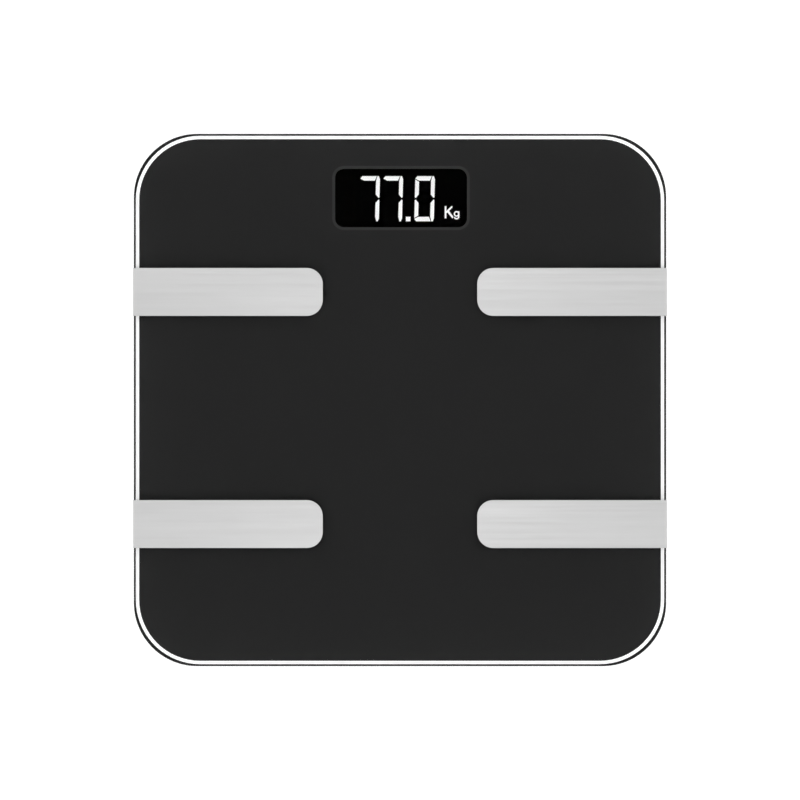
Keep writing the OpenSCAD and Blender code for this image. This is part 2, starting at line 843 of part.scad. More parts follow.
// Cell along X with its nub towards -X, its nub's face at x = 0
module cell(i, turn) {
    r = battery_d / 2;
    color([0.75, 0.6, 0.3])
        translate([turn * (contact_t - bay_l / 2), cell_y[i], battery_mid])
            rotate([0, turn * 90, 0]) rotate_extrude()
                polygon([
                    [0, 0], [1.9, 0], [1.9, 0.8], [r - 0.4, 0.8], [r, 1.2],
                    [r, battery_l - 0.4], [r - 0.4, battery_l], [0, battery_l],
                ]);
}

module battery_1() { cell(0, 1); }
module battery_2() { cell(1, -1); }
module battery_3() { cell(2, 1); }

// Contact plate on the bay's end wall, from one cell to another
module contact_plate(side, first, last) {
    tall = battery_d - 2.5;
    wide = cell_y[last] - cell_y[first] + tall;
    color([0.8, 0.8, 0.78])
        block(side * (bay_l - contact_t) / 2, (cell_y[first] + cell_y[last]) / 2, battery_mid - tall / 2,
            contact_t, wide, tall);
}

module battery_contact_positive() { contact_plate(-1, 0, 0); }
module battery_contact_negative() { contact_plate(1, 2, 2); }
module battery_bridge_left() { contact_plate(-1, 1, 2); }
module battery_bridge_right() { contact_plate(1, 0, 1); }

// Conical contact spring between an end plate and a cell's flat end
module contact_spring(i, side) {
    wire = 0.35;
    turns = 3;
    rings = 14 * turns;
    start = bay_l / 2 - contact_t - wire + slip / 2;
    run = spring_room - 2 * wire + slip;
    wide = battery_d / 2 - 1.6;
    path = [
        for (k = [0 : rings])
            let (u = k / rings, r = wide - 1.5 * u)
                [side * (start - run * u), r * cos(360 * turns * u), r * sin(360 * turns * u)]
    ];
    translate([0, cell_y[i], battery_mid]) swept(path, wire);
}

module battery_springs() {
    color([0.8, 0.8, 0.78]) {
        contact_spring(0, 1);
        contact_spring(1, -1);
        contact_spring(2, 1);
    }
}

// ---- Load cells and feet ----

module load_cell(i) {
    color([0.7, 0.7, 0.72]) at_foot(i) translate([0, 0, gauge_z]) linear_extrude(gauge_plate_t)
        difference() {
            rounded(gauge_plate_w, gauge_plate_w, gauge_plate_r);
            difference() {
                translate([-tongue_w / 2 - tongue_slot, -tongue_l / 2])
                    square([tongue_w + 2 * tongue_slot, tongue_l + tongue_slot]);
                translate([-tongue_w / 2, -tongue_l / 2 - 1]) square([tongue_w, tongue_l + 1]);
            }
        }
}

module load_cell_front_left() { load_cell(0); }
module load_cell_front_right() { load_cell(1); }
module load_cell_rear_left() { load_cell(2); }
module load_cell_rear_right() { load_cell(3); }

module strain_gauges() {
    color([0.95, 0.95, 0.93])
        for (i = [0 : 3]) at_foot(i) block(0, 5 - lead_slot_in, roof_z, 6, 10, 0.8);
}

module foot_cup(i) {
    plate_z = pad_roof + 2;
    skirt_t = 1.4;
    skirt_top = gauge_z - 1.4;
    color([0.15, 0.15, 0.16]) at_foot(i) {
        rotate_extrude() polygon([
            [0, pad_roof], [pad_r + pad_gap, pad_roof], [pad_r + pad_gap, rim_clear_z],
            [foot_r - 0.6, rim_clear_z], [foot_r, rim_clear_z + 0.6], [foot_r, skirt_top],
            [foot_r - skirt_t, skirt_top], [foot_r - skirt_t, plate_z], [boss_r, plate_z],
            [boss_r, gauge_z], [0, gauge_z],
        ]);
        for (a = [0, 90, 180]) rotate([0, 0, a]) clip_leg();
    }
}

module clip_leg() {
    out = leg_r + leg_t;
    foot_of_leg = pad_roof + 1;
    rotate([90, 0, 0]) linear_extrude(leg_w, center = true) polygon([
        [leg_r, foot_of_leg], [out, foot_of_leg], [out, hook_z], [out + hook_out, hook_z],
        [out + hook_out, hook_z + 0.5], [out, hook_z + hook_h], [leg_r, hook_z + hook_h],
    ]);
}

module foot_cup_front_left() { foot_cup(0); }
module foot_cup_front_right() { foot_cup(1); }
module foot_cup_rear_left() { foot_cup(2); }
module foot_cup_rear_right() { foot_cup(3); }

module foot_pad(i) {
    groove = 0.6;
    color([0.09, 0.09, 0.09]) at_foot(i) difference() {
        rotate_extrude() polygon([
            [0, 0], [pad_r - 0.5, 0], [pad_r, 0.5], [pad_r, pad_t], [0, pad_t],
        ]);
        for (r = [4 : 4 : pad_r - 3])
            translate([0, 0, -1]) difference() {
                cylinder(h = 1 + groove, r = r + 1);
                translate([0, 0, -1]) cylinder(h = 3 + groove, r = r);
            }
    }
}

module foot_pad_front_left() { foot_pad(0); }
module foot_pad_front_right() { foot_pad(1); }
module foot_pad_rear_left() { foot_pad(2); }
module foot_pad_rear_right() { foot_pad(3); }

// ---- Wiring ----

cable_r = 1.1;
lead_r = 0.6;
lane_x = foot_x - 46;
lane_z = floor_z + rib_h + cable_r + 0.3;
lead_z = wire_z - 0.2;
fold_z = flange_top - electrode_t;
tab_x = platform_w / 2 - flange_w - tab_l + 1;

// Way out of a well: off the gauge, up through the roof's slot and out of the notch
function way_out(y) = [
    [foot_x - lead_slot_in, y, roof_z + 1.2], [foot_x - 15, y, roof_z + 1.7],
    [foot_x - well_r + 1.5, y, roof_top + 1.4], [foot_x - well_r - 3, y, roof_top + 1.5],
];

// Last stretch into socket k of the connector row
function way_in(x) = [[x, connector_face - 4, wire_z], [x, connector_face, wire_z]];

function front_cable(side) = concat(way_out(-foot_y), [
    [lane_x + 15, 6 - foot_y, lane_z + 0.8], [lane_x + 7, 17 - foot_y, lane_z],
    [lane_x + 1, 38 - foot_y, lane_z], [lane_x, -30, lane_z], [lane_x, 0, lane_z], [lane_x, 30, lane_z],
    [lane_x - 2, board_front - 29, lane_z], [lane_x - 11, board_front - 17, lane_z + 0.3],
    [side * board_x + 32, board_front - 10, lane_z + 2],
], way_in(side * board_x + 25.5));

function rear_cable(side) = concat(way_out(foot_y), [
    [lane_x + 12, foot_y - 7, wire_z - 0.4], [lane_x + 3, board_front, wire_z],
    [side * board_x + 47, board_front - 6, wire_z], [side * board_x + 40, board_front - 8, wire_z],
], way_in(side * board_x + 34));

function off_tab(y) = [
    [tab_x, y, fold_z], [tab_x, y, fold_z - 1.5], [tab_x - 2, y, fold_z - 3.4],
    [tab_x - 9, y, lead_z],
];

function rear_lead(side) = concat(off_tab(strip_rear_y), [
    [foot_x + 4, strip_rear_y + 1, lead_z], [foot_x - 20, strip_rear_y + 3, lead_z],
    [lane_x + 8, board_front - 18, lead_z], [lane_x - 6, board_front - 18.5, lead_z],
    [lane_x - 18, board_front - 17, lead_z], [side * board_x + 24, board_front - 13, lead_z],
    [side * board_x + 18.9, board_front - 7.5, wire_z],
], way_in(side * board_x + 18.4));

function front_lead(side) = concat(off_tab(strip_front_y), [
    [foot_x + 10, strip_front_y + 2, lead_z], [foot_x - 14, strip_front_y + 10, lead_z],
    [lane_x + 10, strip_front_y + 27, lead_z], [lane_x - 6, strip_front_y + 53, lead_z],
    [lane_x - 12, 16, lead_z], [lane_x - 14, 40, lead_z], [lane_x - 20, board_front - 24, lead_z],
    [side * board_x + 21.5, board_front - 14, lead_z], [side * board_x + 16.8, board_front - 8, wire_z],
], way_in(side * board_x + 16.6));

module cable(route, side) {
    color([0.25, 0.25, 0.27]) scale_x(side) swept(smooth(route, 3), cable_r);
}

// Turns a right-hand shape into the left-hand one for side = -1
module scale_x(side) {
    mirror([side < 0 ? 1 : 0, 0, 0]) children();
}

module load_cell_cable_front_left() { cable(front_cable(-1), -1); }
module load_cell_cable_front_right() { cable(front_cable(1), 1); }
module load_cell_cable_rear_left() { cable(rear_cable(-1), -1); }
module load_cell_cable_rear_right() { cable(rear_cable(1), 1); }

module electrode_leads() {
    color([0.85, 0.85, 0.82]) for (side = sides) scale_x(side) {
        swept(smooth(rear_lead(side), 3), lead_r);
        swept(smooth(front_lead(side), 3), lead_r);
    }
}

module battery_leads() {
    exit_x = bay_l / 2;
    lead_hole_z = battery_mid + 3;
    positive = concat([
        [-exit_x, cell_y[0], lead_hole_z], [-exit_x - 3, cell_y[0], lead_hole_z],
        [-exit_x - 6, cell_y[0] + 5, lead_hole_z - 1], [-exit_x - 7, bay_y + 4, lead_hole_z - 1.5],
        [-exit_x - 6, bay_y + 19, lead_hole_z - 1.5], [-exit_x + 2, board_front - 21, lead_z - 0.6],
        [board_x - 13, board_front - 12, lead_z],
    ], way_in(board_x - 9));
    negative = concat([
        [exit_x, cell_y[2], lead_hole_z], [exit_x + 3, cell_y[2], lead_hole_z],
        [exit_x + 5, cell_y[2] + 4, lead_hole_z - 1], [exit_x + 4, cell_y[2] + 11, lead_hole_z - 1.5],
        [exit_x - 3, board_front - 23, lead_z - 1.5], [board_x + 8, board_front - 18, lead_z - 1],
        [board_x - 3, board_front - 12, lead_z],
    ], way_in(board_x - 7));
    color([0.7, 0.15, 0.12]) {
        swept(smooth(positive, 3), lead_r);
        swept(smooth(negative, 3), lead_r);
    }
}

glass_platform();
backing_film();
border_line();
window_frame_print();
electrode_upper_left();
electrode_upper_right();
electrode_lower_left();
electrode_lower_right();
bonding_tape();
display_gasket();
display_housing();
display_segments_lit();
display_segments_unlit();
unit_legend();
display_leds();
display_pins();
main_board();
controller_chip();
board_components();
crystal();
radio_antenna();
wire_connectors();
switch_body();
switch_plunger();
board_screws();
base_shell();
unit_button();
battery_door();
door_foam();
battery_1();
battery_2();
battery_3();
battery_contact_positive();
battery_contact_negative();
battery_bridge_left();
battery_bridge_right();
battery_springs();
load_cell_front_left();
load_cell_front_right();
load_cell_rear_left();
load_cell_rear_right();
strain_gauges();
foot_cup_front_left();
foot_cup_front_right();
foot_cup_rear_left();
foot_cup_rear_right();
foot_pad_front_left();
foot_pad_front_right();
foot_pad_rear_left();
foot_pad_rear_right();
load_cell_cable_front_left();
load_cell_cable_front_right();
load_cell_cable_rear_left();
load_cell_cable_rear_right();
electrode_leads();
battery_leads();
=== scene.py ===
"""Looks of a glass body scale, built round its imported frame. Lengths are in metres."""

import logging
import math
from dataclasses import dataclass, field
from enum import Enum
from typing import Callable, Optional, Sequence

import bmesh
import bpy
from mathutils import Matrix, Vector


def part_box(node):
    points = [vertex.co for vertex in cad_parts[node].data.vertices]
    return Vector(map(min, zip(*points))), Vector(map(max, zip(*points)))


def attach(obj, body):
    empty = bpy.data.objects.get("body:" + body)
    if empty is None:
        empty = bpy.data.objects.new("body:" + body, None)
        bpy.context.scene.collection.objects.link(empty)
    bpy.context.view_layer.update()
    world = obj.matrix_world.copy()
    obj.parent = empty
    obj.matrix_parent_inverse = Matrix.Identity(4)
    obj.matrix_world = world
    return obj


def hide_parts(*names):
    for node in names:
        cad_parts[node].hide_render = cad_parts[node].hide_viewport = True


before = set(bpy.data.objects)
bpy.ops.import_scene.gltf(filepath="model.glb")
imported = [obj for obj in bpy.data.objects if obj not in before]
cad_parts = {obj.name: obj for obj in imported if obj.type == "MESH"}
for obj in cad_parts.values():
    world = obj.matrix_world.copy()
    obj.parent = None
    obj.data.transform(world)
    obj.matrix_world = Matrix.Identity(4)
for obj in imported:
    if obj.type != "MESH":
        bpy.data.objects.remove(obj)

Colour = tuple[float, float, float]
Point = tuple[float, float, float]
Pair = tuple[float, float]

log = logging.getLogger("scale")
MM = 0.001
FEET: dict[str, Pair] = {
    "front_left": (-1.0, -1.0), "front_right": (1.0, -1.0),
    "rear_left": (-1.0, 1.0), "rear_right": (1.0, 1.0),
}
STRIPS: dict[str, float] = {
    "upper_left": -1.0, "upper_right": 1.0, "lower_left": -1.0, "lower_right": 1.0,
}


def tone(red: int, green: int, blue: int) -> Colour:
    """Turns a screen colour from 0 to 255 into a linear one.

    Args:
        red: Red as shown on screen.
        green: Green as shown on screen.
        blue: Blue as shown on screen.

    Returns:
        The linear colour.
    """
    def linear(value: int) -> float:
        """Linear value of one channel."""
        share = value / 255
        return share / 12.92 if share <= 0.04045 else ((share + 0.055) / 1.055) ** 2.4

    return linear(red), linear(green), linear(blue)


MATERIALS: dict[str, bpy.types.Material] = {}


class Pattern(Enum):
    """Fine structure of a surface."""

    SMOOTH = "smooth"
    MOULDED = "moulded"
    BRUSHED = "brushed"
    FOAM = "foam"
    PRINTED = "printed"


# ---- Shader groups shared by the finishes ----


class Groups:
    """Node groups that several finishes use, each built once."""

    built: dict[str, bpy.types.NodeTree] = {}

    @classmethod
    def get(cls, pattern: Pattern) -> bpy.types.NodeTree:
        """Finds a pattern's group, and builds it on first use.

        Args:
            pattern: Which surface pattern is wanted.

        Returns:
            The shader node group.
        """
        makers: dict[Pattern, Callable[[], bpy.types.NodeTree]] = {
            Pattern.SMOOTH: cls._smooth, Pattern.MOULDED: cls._moulded,
            Pattern.BRUSHED: cls._brushed, Pattern.FOAM: cls._foam, Pattern.PRINTED: cls._printed,
        }
        if pattern.value not in cls.built:
            cls.built[pattern.value] = makers[pattern]()
        return cls.built[pattern.value]

    @staticmethod
    def _start(name: str) -> tuple[bpy.types.NodeTree, bpy.types.Node, bpy.types.Node]:
        """Opens a group with a vector and a scale in, and a mask and a height out.

        Args:
            name: Name of the group.

        Returns:
            The group, its input node and its output node.
        """
        tree = bpy.data.node_groups.new(name, "ShaderNodeTree")
        tree.interface.new_socket("Vector", in_out="INPUT", socket_type="NodeSocketVector")
        scale = tree.interface.new_socket("Scale", in_out="INPUT", socket_type="NodeSocketFloat")
        scale.default_value = 1000.0
        for label in ("Mask", "Height"):
            tree.interface.new_socket(label, in_out="OUTPUT", socket_type="NodeSocketFloat")
        return tree, tree.nodes.new("NodeGroupInput"), tree.nodes.new("NodeGroupOutput")

    @staticmethod
    def _noise(
        tree: bpy.types.NodeTree, vector: bpy.types.NodeSocket, scale: bpy.types.NodeSocket,
        share: float, detail: float,
    ) -> bpy.types.NodeSocket:
        """Adds a noise whose scale is a share of the group's.

        Args:
            tree: Group that the noise goes in.
            vector: Coordinates that it reads.
            scale: The group's scale.
            share: Share of that scale.
            detail: Octaves of detail.

        Returns:
            The noise's value socket.
        """
        times = tree.nodes.new("ShaderNodeMath")
        times.operation = "MULTIPLY"
        times.inputs[1].default_value = share
        tree.links.new(scale, times.inputs[0])
        noise = tree.nodes.new("ShaderNodeTexNoise")
        noise.inputs["Detail"].default_value = detail
        tree.links.new(vector, noise.inputs["Vector"])
        tree.links.new(times.outputs[0], noise.inputs["Scale"])
        return noise.outputs["Fac"]

    @staticmethod
    def _mixed(
        tree: bpy.types.NodeTree, first: bpy.types.NodeSocket, second: bpy.types.NodeSocket,
        share: float,
    ) -> bpy.types.NodeSocket:
        """Blends two values.

        Args:
            tree: Group that the blend goes in.
            first: Value at share 0.
            second: Value at share 1.
            share: Share of the second value.

        Returns:
            The blended value's socket.
        """
        mix = tree.nodes.new("ShaderNodeMix")
        mix.inputs["Factor"].default_value = share
        tree.links.new(first, mix.inputs[2])
        tree.links.new(second, mix.inputs[3])
        return mix.outputs[0]

    @classmethod
    def _finished(
        cls, tree: bpy.types.NodeTree, out: bpy.types.Node,
        mask: bpy.types.NodeSocket, height: bpy.types.NodeSocket,
    ) -> bpy.types.NodeTree:
        """Links a group's two results and returns it."""
        tree.links.new(mask, out.inputs["Mask"])
        tree.links.new(height, out.inputs["Height"])
        return tree

    @classmethod
    def _smooth(cls) -> bpy.types.NodeTree:
        """Polished surface with faint handling marks."""
        tree, given, out = cls._start("Smooth surface")
        vector, scale = given.outputs["Vector"], given.outputs["Scale"]
        mask = cls._noise(tree, vector, scale, 0.04, 3.0)
        fine = cls._noise(tree, vector, scale, 1.0, 2.0)
        return cls._finished(tree, out, cls._mixed(tree, mask, fine, 0.2), fine)

    @classmethod
    def _moulded(cls) -> bpy.types.NodeTree:
        """Spark-eroded texture of moulded plastic."""
        tree, given, out = cls._start("Moulded texture")
        vector, scale = given.outputs["Vector"], given.outputs["Scale"]
        fine = cls._noise(tree, vector, scale, 1.0, 4.0)
        cells = tree.nodes.new("ShaderNodeTexVoronoi")
        cells.feature = "SMOOTH_F1"
        tree.links.new(vector, cells.inputs["Vector"])
        tree.links.new(scale, cells.inputs["Scale"])
        broad = cls._noise(tree, vector, scale, 0.03, 2.0)
        height = cls._mixed(tree, fine, cells.outputs["Distance"], 0.45)
        return cls._finished(tree, out, cls._mixed(tree, broad, fine, 0.4), height)

    @classmethod
    def _brushed(cls) -> bpy.types.NodeTree:
        """Fine scratches that run along X."""
        tree, given, out = cls._start("Brushed metal")
        stretch = tree.nodes.new("ShaderNodeMapping")
        stretch.inputs["Scale"].default_value = (0.012, 1.0, 1.0)
        tree.links.new(given.outputs["Vector"], stretch.inputs["Vector"])
        scale = given.outputs["Scale"]
        lines = cls._noise(tree, stretch.outputs[0], scale, 4.0, 5.0)
        broad = cls._noise(tree, stretch.outputs[0], scale, 0.6, 2.0)
        return cls._finished(tree, out, cls._mixed(tree, lines, broad, 0.45), lines)

    @classmethod
    def _foam(cls) -> bpy.types.NodeTree:
        """Open cells of foam."""
        tree, given, out = cls._start("Foam cells")
        vector, scale = given.outputs["Vector"], given.outputs["Scale"]
        cells = tree.nodes.new("ShaderNodeTexVoronoi")
        tree.links.new(vector, cells.inputs["Vector"])
        tree.links.new(scale, cells.inputs["Scale"])
        broad = cls._noise(tree, vector, scale, 0.2, 3.0)
        mask = cls._mixed(tree, cells.outputs["Distance"], broad, 0.4)
        return cls._finished(tree, out, mask, cells.outputs["Distance"])

    @classmethod
    def _printed(cls) -> bpy.types.NodeTree:
        """Even print with a barely seen grain."""
        tree, given, out = cls._start("Printed ink")
        vector, scale = given.outputs["Vector"], given.outputs["Scale"]
        fine = cls._noise(tree, vector, scale, 1.0, 2.0)
        broad = cls._noise(tree, vector, scale, 0.01, 2.0)
        return cls._finished(tree, out, cls._mixed(tree, fine, broad, 0.5), fine)


@dataclass(frozen=True)
class Finish:
    """One material: its colours, its gloss and its fine structure."""

    name: str
    slot: str
    light: Colour
    dark: Colour
    pattern: Pattern = Pattern.SMOOTH
    scale: float = 1500.0
    rough: Pair = (0.3, 0.4)
    relief: float = 0.00001
    strength: float = 0.2
    metallic: float = 0.0
    ior: float = 1.5
    coat: float = 0.0
    transmission: float = 0.0
    anisotropic: float = 0.0
    glow: float = 0.0
    # Painted sheen, if given: two distances from the centre line and a shade tint; the colour is
    # multiplied darker between them, fully by the tint beyond the first.
    painted_sheen: Optional[tuple[float, float, Colour]] = None

    def material(self) -> bpy.types.Material:
        """Finds the finish's material, and builds it on first use.

        Returns:
            The Blender material.
        """
        if self.name not in MATERIALS:
            MATERIALS[self.name] = self._build()
        return MATERIALS[self.name]

    def _build(self) -> bpy.types.Material:
        """Builds the node tree.

        Returns:
            The new material.
        """
        made = bpy.data.materials.new(self.name)
        made.use_nodes = True
        tree = made.node_tree
        shader = tree.nodes["Principled BSDF"]
        place = tree.nodes.new("ShaderNodeTexCoord")
        group = tree.nodes.new("ShaderNodeGroup")
        group.node_tree = Groups.get(self.pattern)
        group.inputs["Scale"].default_value = self.scale
        tree.links.new(place.outputs["Object"], group.inputs["Vector"])
        colour = self._colour(tree, place.outputs["Object"], group.outputs["Mask"])
        tree.links.new(colour, shader.inputs["Base Color"])
        rough = tree.nodes.new("ShaderNodeMapRange")
        rough.inputs["To Min"].default_value, rough.inputs["To Max"].default_value = self.rough
        rough.inputs["From Min"].default_value = 0.25
        rough.inputs["From Max"].default_value = 0.75
        tree.links.new(group.outputs["Mask"], rough.inputs["Value"])
        tree.links.new(rough.outputs[0], shader.inputs["Roughness"])
        if self.strength:
            bump = tree.nodes.new("ShaderNodeBump")
            bump.inputs["Strength"].default_value = self.strength
            bump.inputs["Distance"].default_value = self.relief
            tree.links.new(group.outputs["Height"], bump.inputs["Height"])
            tree.links.new(bump.outputs[0], shader.inputs["Normal"])
        shader.inputs["Metallic"].default_value = self.metallic
        shader.inputs["IOR"].default_value = self.ior
        shader.inputs["Coat Weight"].default_value = self.coat
        shader.inputs["Transmission Weight"].default_value = self.transmission
        shader.inputs["Anisotropic"].default_value = self.anisotropic
        if self.glow:
            tree.links.new(colour, shader.inputs["Emission Color"])
            shader.inputs["Emission Strength"].default_value = self.glow
        return made

    def _colour(
        self, tree: bpy.types.NodeTree, place: bpy.types.NodeSocket, mask: bpy.types.NodeSocket,
    ) -> bpy.types.NodeSocket:
        """Mixes the two colours by the pattern and, if a painted sheen is given, multiplies it in:
        a shade tint grows from the sheen's second distance from the centre line out to its first,
        so the colour is painted darker further out.

        Args:
            tree: The material's tree.
            place: Object coordinates.
            mask: The pattern's mask.

        Returns:
            The colour's socket.
        """
        ramp = tree.nodes.new("ShaderNodeValToRGB")
        ramp.color_ramp.elements[0].position = 0.3
        ramp.color_ramp.elements[1].position = 0.7
        ramp.color_ramp.elements[0].color = (*self.dark, 1.0)
        ramp.color_ramp.elements[1].color = (*self.light, 1.0)
        tree.links.new(mask, ramp.inputs[0])
        if self.painted_sheen is None:
            return ramp.outputs[0]
        # Painted sheen: the colour is painted darker further from the centre line.
        near, far, sheen_shade = self.painted_sheen
        split = tree.nodes.new("ShaderNodeSeparateXYZ")
        size = tree.nodes.new("ShaderNodeMath")
        size.operation = "ABSOLUTE"
        sheen_span = tree.nodes.new("ShaderNodeMapRange")
        sheen_span.inputs["From Min"].default_value = far
        sheen_span.inputs["From Max"].default_value = near
        mix = tree.nodes.new("ShaderNodeMix")
        mix.data_type = "RGBA"
        mix.blend_type = "MULTIPLY"
        mix.inputs[7].default_value = (*sheen_shade, 1.0)
        tree.links.new(place, split.inputs[0])
        tree.links.new(split.outputs["X"], size.inputs[0])
        tree.links.new(size.outputs[0], sheen_span.inputs["Value"])
        tree.links.new(sheen_span.outputs[0], mix.inputs[0])
        tree.links.new(ramp.outputs[0], mix.inputs[6])
        return mix.outputs[2]


GLASS = Finish(
    "clear_glass", "glass", (0.985, 0.992, 0.988), (0.978, 0.988, 0.984), rough=(0.0, 0.004),
    strength=0.0, transmission=1.0, ior=1.5, scale=600.0,
)
BLACK_PRINT = Finish(
    "black_ink", "black_print", tone(49, 49, 49), tone(48, 48, 48), Pattern.PRINTED, 4000.0,
    (0.35, 0.45), 2e-6, 0.1, ior=1.03,
)
# White border print. Its glow is painted light: the ink emits its own colour, so the line shows
# brighter than the lamps alone make it.
WHITE_PRINT_PAINTED_GLOW = Finish(
    "white_ink", "white_print", (0.95, 0.95, 0.95), (0.92, 0.92, 0.92), Pattern.PRINTED, 4000.0,
    (0.35, 0.45), 2e-6, 0.1, ior=1.03, glow=0.4,
)
GREY_PRINT = Finish(
    "grey_ink", "grey_print", tone(66, 66, 66), tone(62, 62, 62), Pattern.PRINTED, 4000.0,
    (0.35, 0.45), 2e-6, 0.1, ior=1.03,
)
# Electrode steel. Its last setting paints a sheen: the colour is multiplied by 0.86 towards the
# strips' outer ends and left lighter at their inner ends, a painted highlight in place of the
# light's reflection.
STEEL_PAINTED_SHEEN = Finish(
    "brushed_steel", "electrode_steel", (0.55, 0.55, 0.55), (0.52, 0.52, 0.52), Pattern.BRUSHED,
    1500.0, (0.34, 0.42), 3e-6, 0.25, metallic=1.0, anisotropic=0.4,
    painted_sheen=(0.14, 0.04, (0.86, 0.86, 0.86)),
)
SHELL = Finish(
    "shell_abs", "shell_plastic", tone(40, 40, 42), tone(33, 33, 35), Pattern.MOULDED, 2600.0,
    (0.5, 0.62), 2e-5, 0.35,
)
DOOR = Finish(
    "door_abs", "door_plastic", tone(41, 41, 43), tone(34, 34, 36), Pattern.MOULDED, 2600.0,
    (0.48, 0.6), 2e-5, 0.35,
)
BUTTON = Finish(
    "button_abs", "button_plastic", tone(96, 97, 100), tone(84, 85, 88), Pattern.MOULDED, 3200.0,
    (0.36, 0.46), 1e-5, 0.25,
)
CUP = Finish(
    "foot_abs", "foot_plastic", tone(46, 46, 48), tone(38, 38, 40), Pattern.MOULDED, 2400.0,
    (0.45, 0.6), 2e-5, 0.35,
)
RUBBER = Finish(
    "tread_rubber", "foot_rubber", tone(54, 54, 54), tone(40, 40, 40), Pattern.MOULDED, 1200.0,
    (0.72, 0.9), 2e-5, 0.4,
)
FOAM = Finish(
    "black_foam", "foam", tone(42, 42, 43), tone(24, 24, 25), Pattern.FOAM, 2200.0,
    (0.85, 0.98), 1e-4, 0.6,
)
GASKET = Finish(
    "cellular_rubber", "gasket_rubber", tone(30, 30, 30), tone(22, 22, 22), Pattern.FOAM, 3000.0,
    (0.8, 0.95), 3e-5, 0.4,
)
REFLECTOR = Finish(
    "reflector_black", "reflector_plastic", (0.0011, 0.0011, 0.0011), (0.0007, 0.0007, 0.0007),
    Pattern.MOULDED, 3000.0, (0.75, 0.9), 1e-5, 0.2, ior=1.03,
)
LIT = Finish(
    "lit_bars", "lit_diffuser", (0.34, 0.34, 0.34), (0.31, 0.31, 0.31), Pattern.SMOOTH, 900.0,
    (0.4, 0.5), 1e-5, 0.1, ior=1.1, glow=2.3,
)
DARK_DIFFUSER = Finish(
    "unlit_bars", "dark_diffuser", (0.0022, 0.0022, 0.0022), (0.0016, 0.0016, 0.0016),
    Pattern.SMOOTH, 900.0, (0.6, 0.75), 1e-5, 0.1, ior=1.03,
)
LED = Finish(
    "clear_resin", "led_resin", (0.95, 0.86, 0.45), (0.88, 0.75, 0.35), Pattern.SMOOTH, 2500.0,
    (0.15, 0.25), 1e-5, 0.1, coat=0.5,
)
PINS = Finish(
    "tinned_wire", "tinned_pins", (0.75, 0.73, 0.68), (0.6, 0.58, 0.54), Pattern.SMOOTH, 3000.0,
    (0.25, 0.4), 1e-5, 0.2, metallic=1.0,
)
BOARD = Finish(
    "solder_mask", "circuit_board", tone(20, 92, 52), tone(14, 74, 42), Pattern.PRINTED, 1800.0,
    (0.25, 0.4), 1e-5, 0.2, coat=0.4,
)
CHIP = Finish(
    "chip_epoxy", "chip_plastic", tone(34, 34, 36), tone(26, 26, 28), Pattern.MOULDED, 5000.0,
    (0.5, 0.65), 1e-5, 0.3,
)
CERAMIC = Finish(
    "component_ceramic", "component_body", tone(150, 118, 88), tone(120, 92, 66), Pattern.SMOOTH,
    4000.0, (0.4, 0.6), 1e-5, 0.2,
)
CAN = Finish(
    "drawn_can", "crystal_can", (0.72, 0.72, 0.74), (0.62, 0.62, 0.64), Pattern.BRUSHED, 2500.0,
    (0.25, 0.38), 5e-6, 0.2, metallic=1.0,
)
COPPER = Finish(
    "copper_track", "copper", (0.72, 0.4, 0.2), (0.6, 0.32, 0.15), Pattern.SMOOTH, 3000.0,
    (0.3, 0.45), 5e-6, 0.2, metallic=1.0,
)
SOCKET = Finish(
    "socket_nylon", "connector_plastic", tone(226, 220, 200), tone(212, 204, 182), Pattern.MOULDED,
    3000.0, (0.45, 0.6), 1e-5, 0.2,
)
PLUNGER = Finish(
    "plunger_nylon", "plunger_plastic", tone(222, 222, 218), tone(206, 206, 202), Pattern.MOULDED,
    3000.0, (0.35, 0.5), 1e-5, 0.2,
)
SCREW = Finish(
    "screw_zinc", "screw_steel", (0.66, 0.67, 0.7), (0.52, 0.53, 0.56), Pattern.SMOOTH, 2500.0,
    (0.25, 0.42), 1e-5, 0.2, metallic=1.0,
)
SLEEVE = Finish(
    "battery_sleeve", "battery_wrap", tone(46, 104, 70), tone(36, 90, 58), Pattern.PRINTED, 900.0,
    (0.22, 0.32), 5e-6, 0.1, coat=0.6,
)
SLEEVE_BAND = Finish(
    "battery_band", "battery_wrap", tone(205, 172, 88), tone(186, 152, 70), Pattern.PRINTED, 900.0,
    (0.22, 0.32), 5e-6, 0.1, coat=0.6,
)
NICKEL = Finish(
    "nickel_plate", "contact_steel", (0.72, 0.7, 0.66), (0.6, 0.58, 0.54), Pattern.BRUSHED, 2000.0,
    (0.2, 0.36), 5e-6, 0.2, metallic=1.0,
)
GAUGE_STEEL = Finish(
    "plated_steel", "gauge_steel", (0.58, 0.58, 0.6), (0.48, 0.48, 0.5), Pattern.BRUSHED, 1400.0,
    (0.3, 0.45), 8e-6, 0.3, metallic=1.0,
)
SILICONE = Finish(
    "potting_silicone", "gauge_silicone", tone(236, 236, 230), tone(218, 218, 210), Pattern.SMOOTH,
    700.0, (0.45, 0.6), 6e-5, 0.5,
)
CABLE = Finish(
    "cable_skin", "cable_jacket", tone(66, 66, 70), tone(54, 54, 58), Pattern.MOULDED, 1500.0,
    (0.45, 0.6), 1e-5, 0.2,
)
PALE_LEAD = Finish(
    "pale_lead", "lead_jacket", tone(226, 226, 220), tone(210, 210, 204), Pattern.MOULDED, 1500.0,
    (0.4, 0.55), 1e-5, 0.2,
)
RED_LEAD = Finish(
    "red_lead", "power_lead_jacket", tone(188, 44, 34), tone(168, 34, 26), Pattern.MOULDED, 1500.0,
    (0.4, 0.55), 1e-5, 0.2,
)


# ---- Outlines and skins ----

Ring = Sequence[Point]


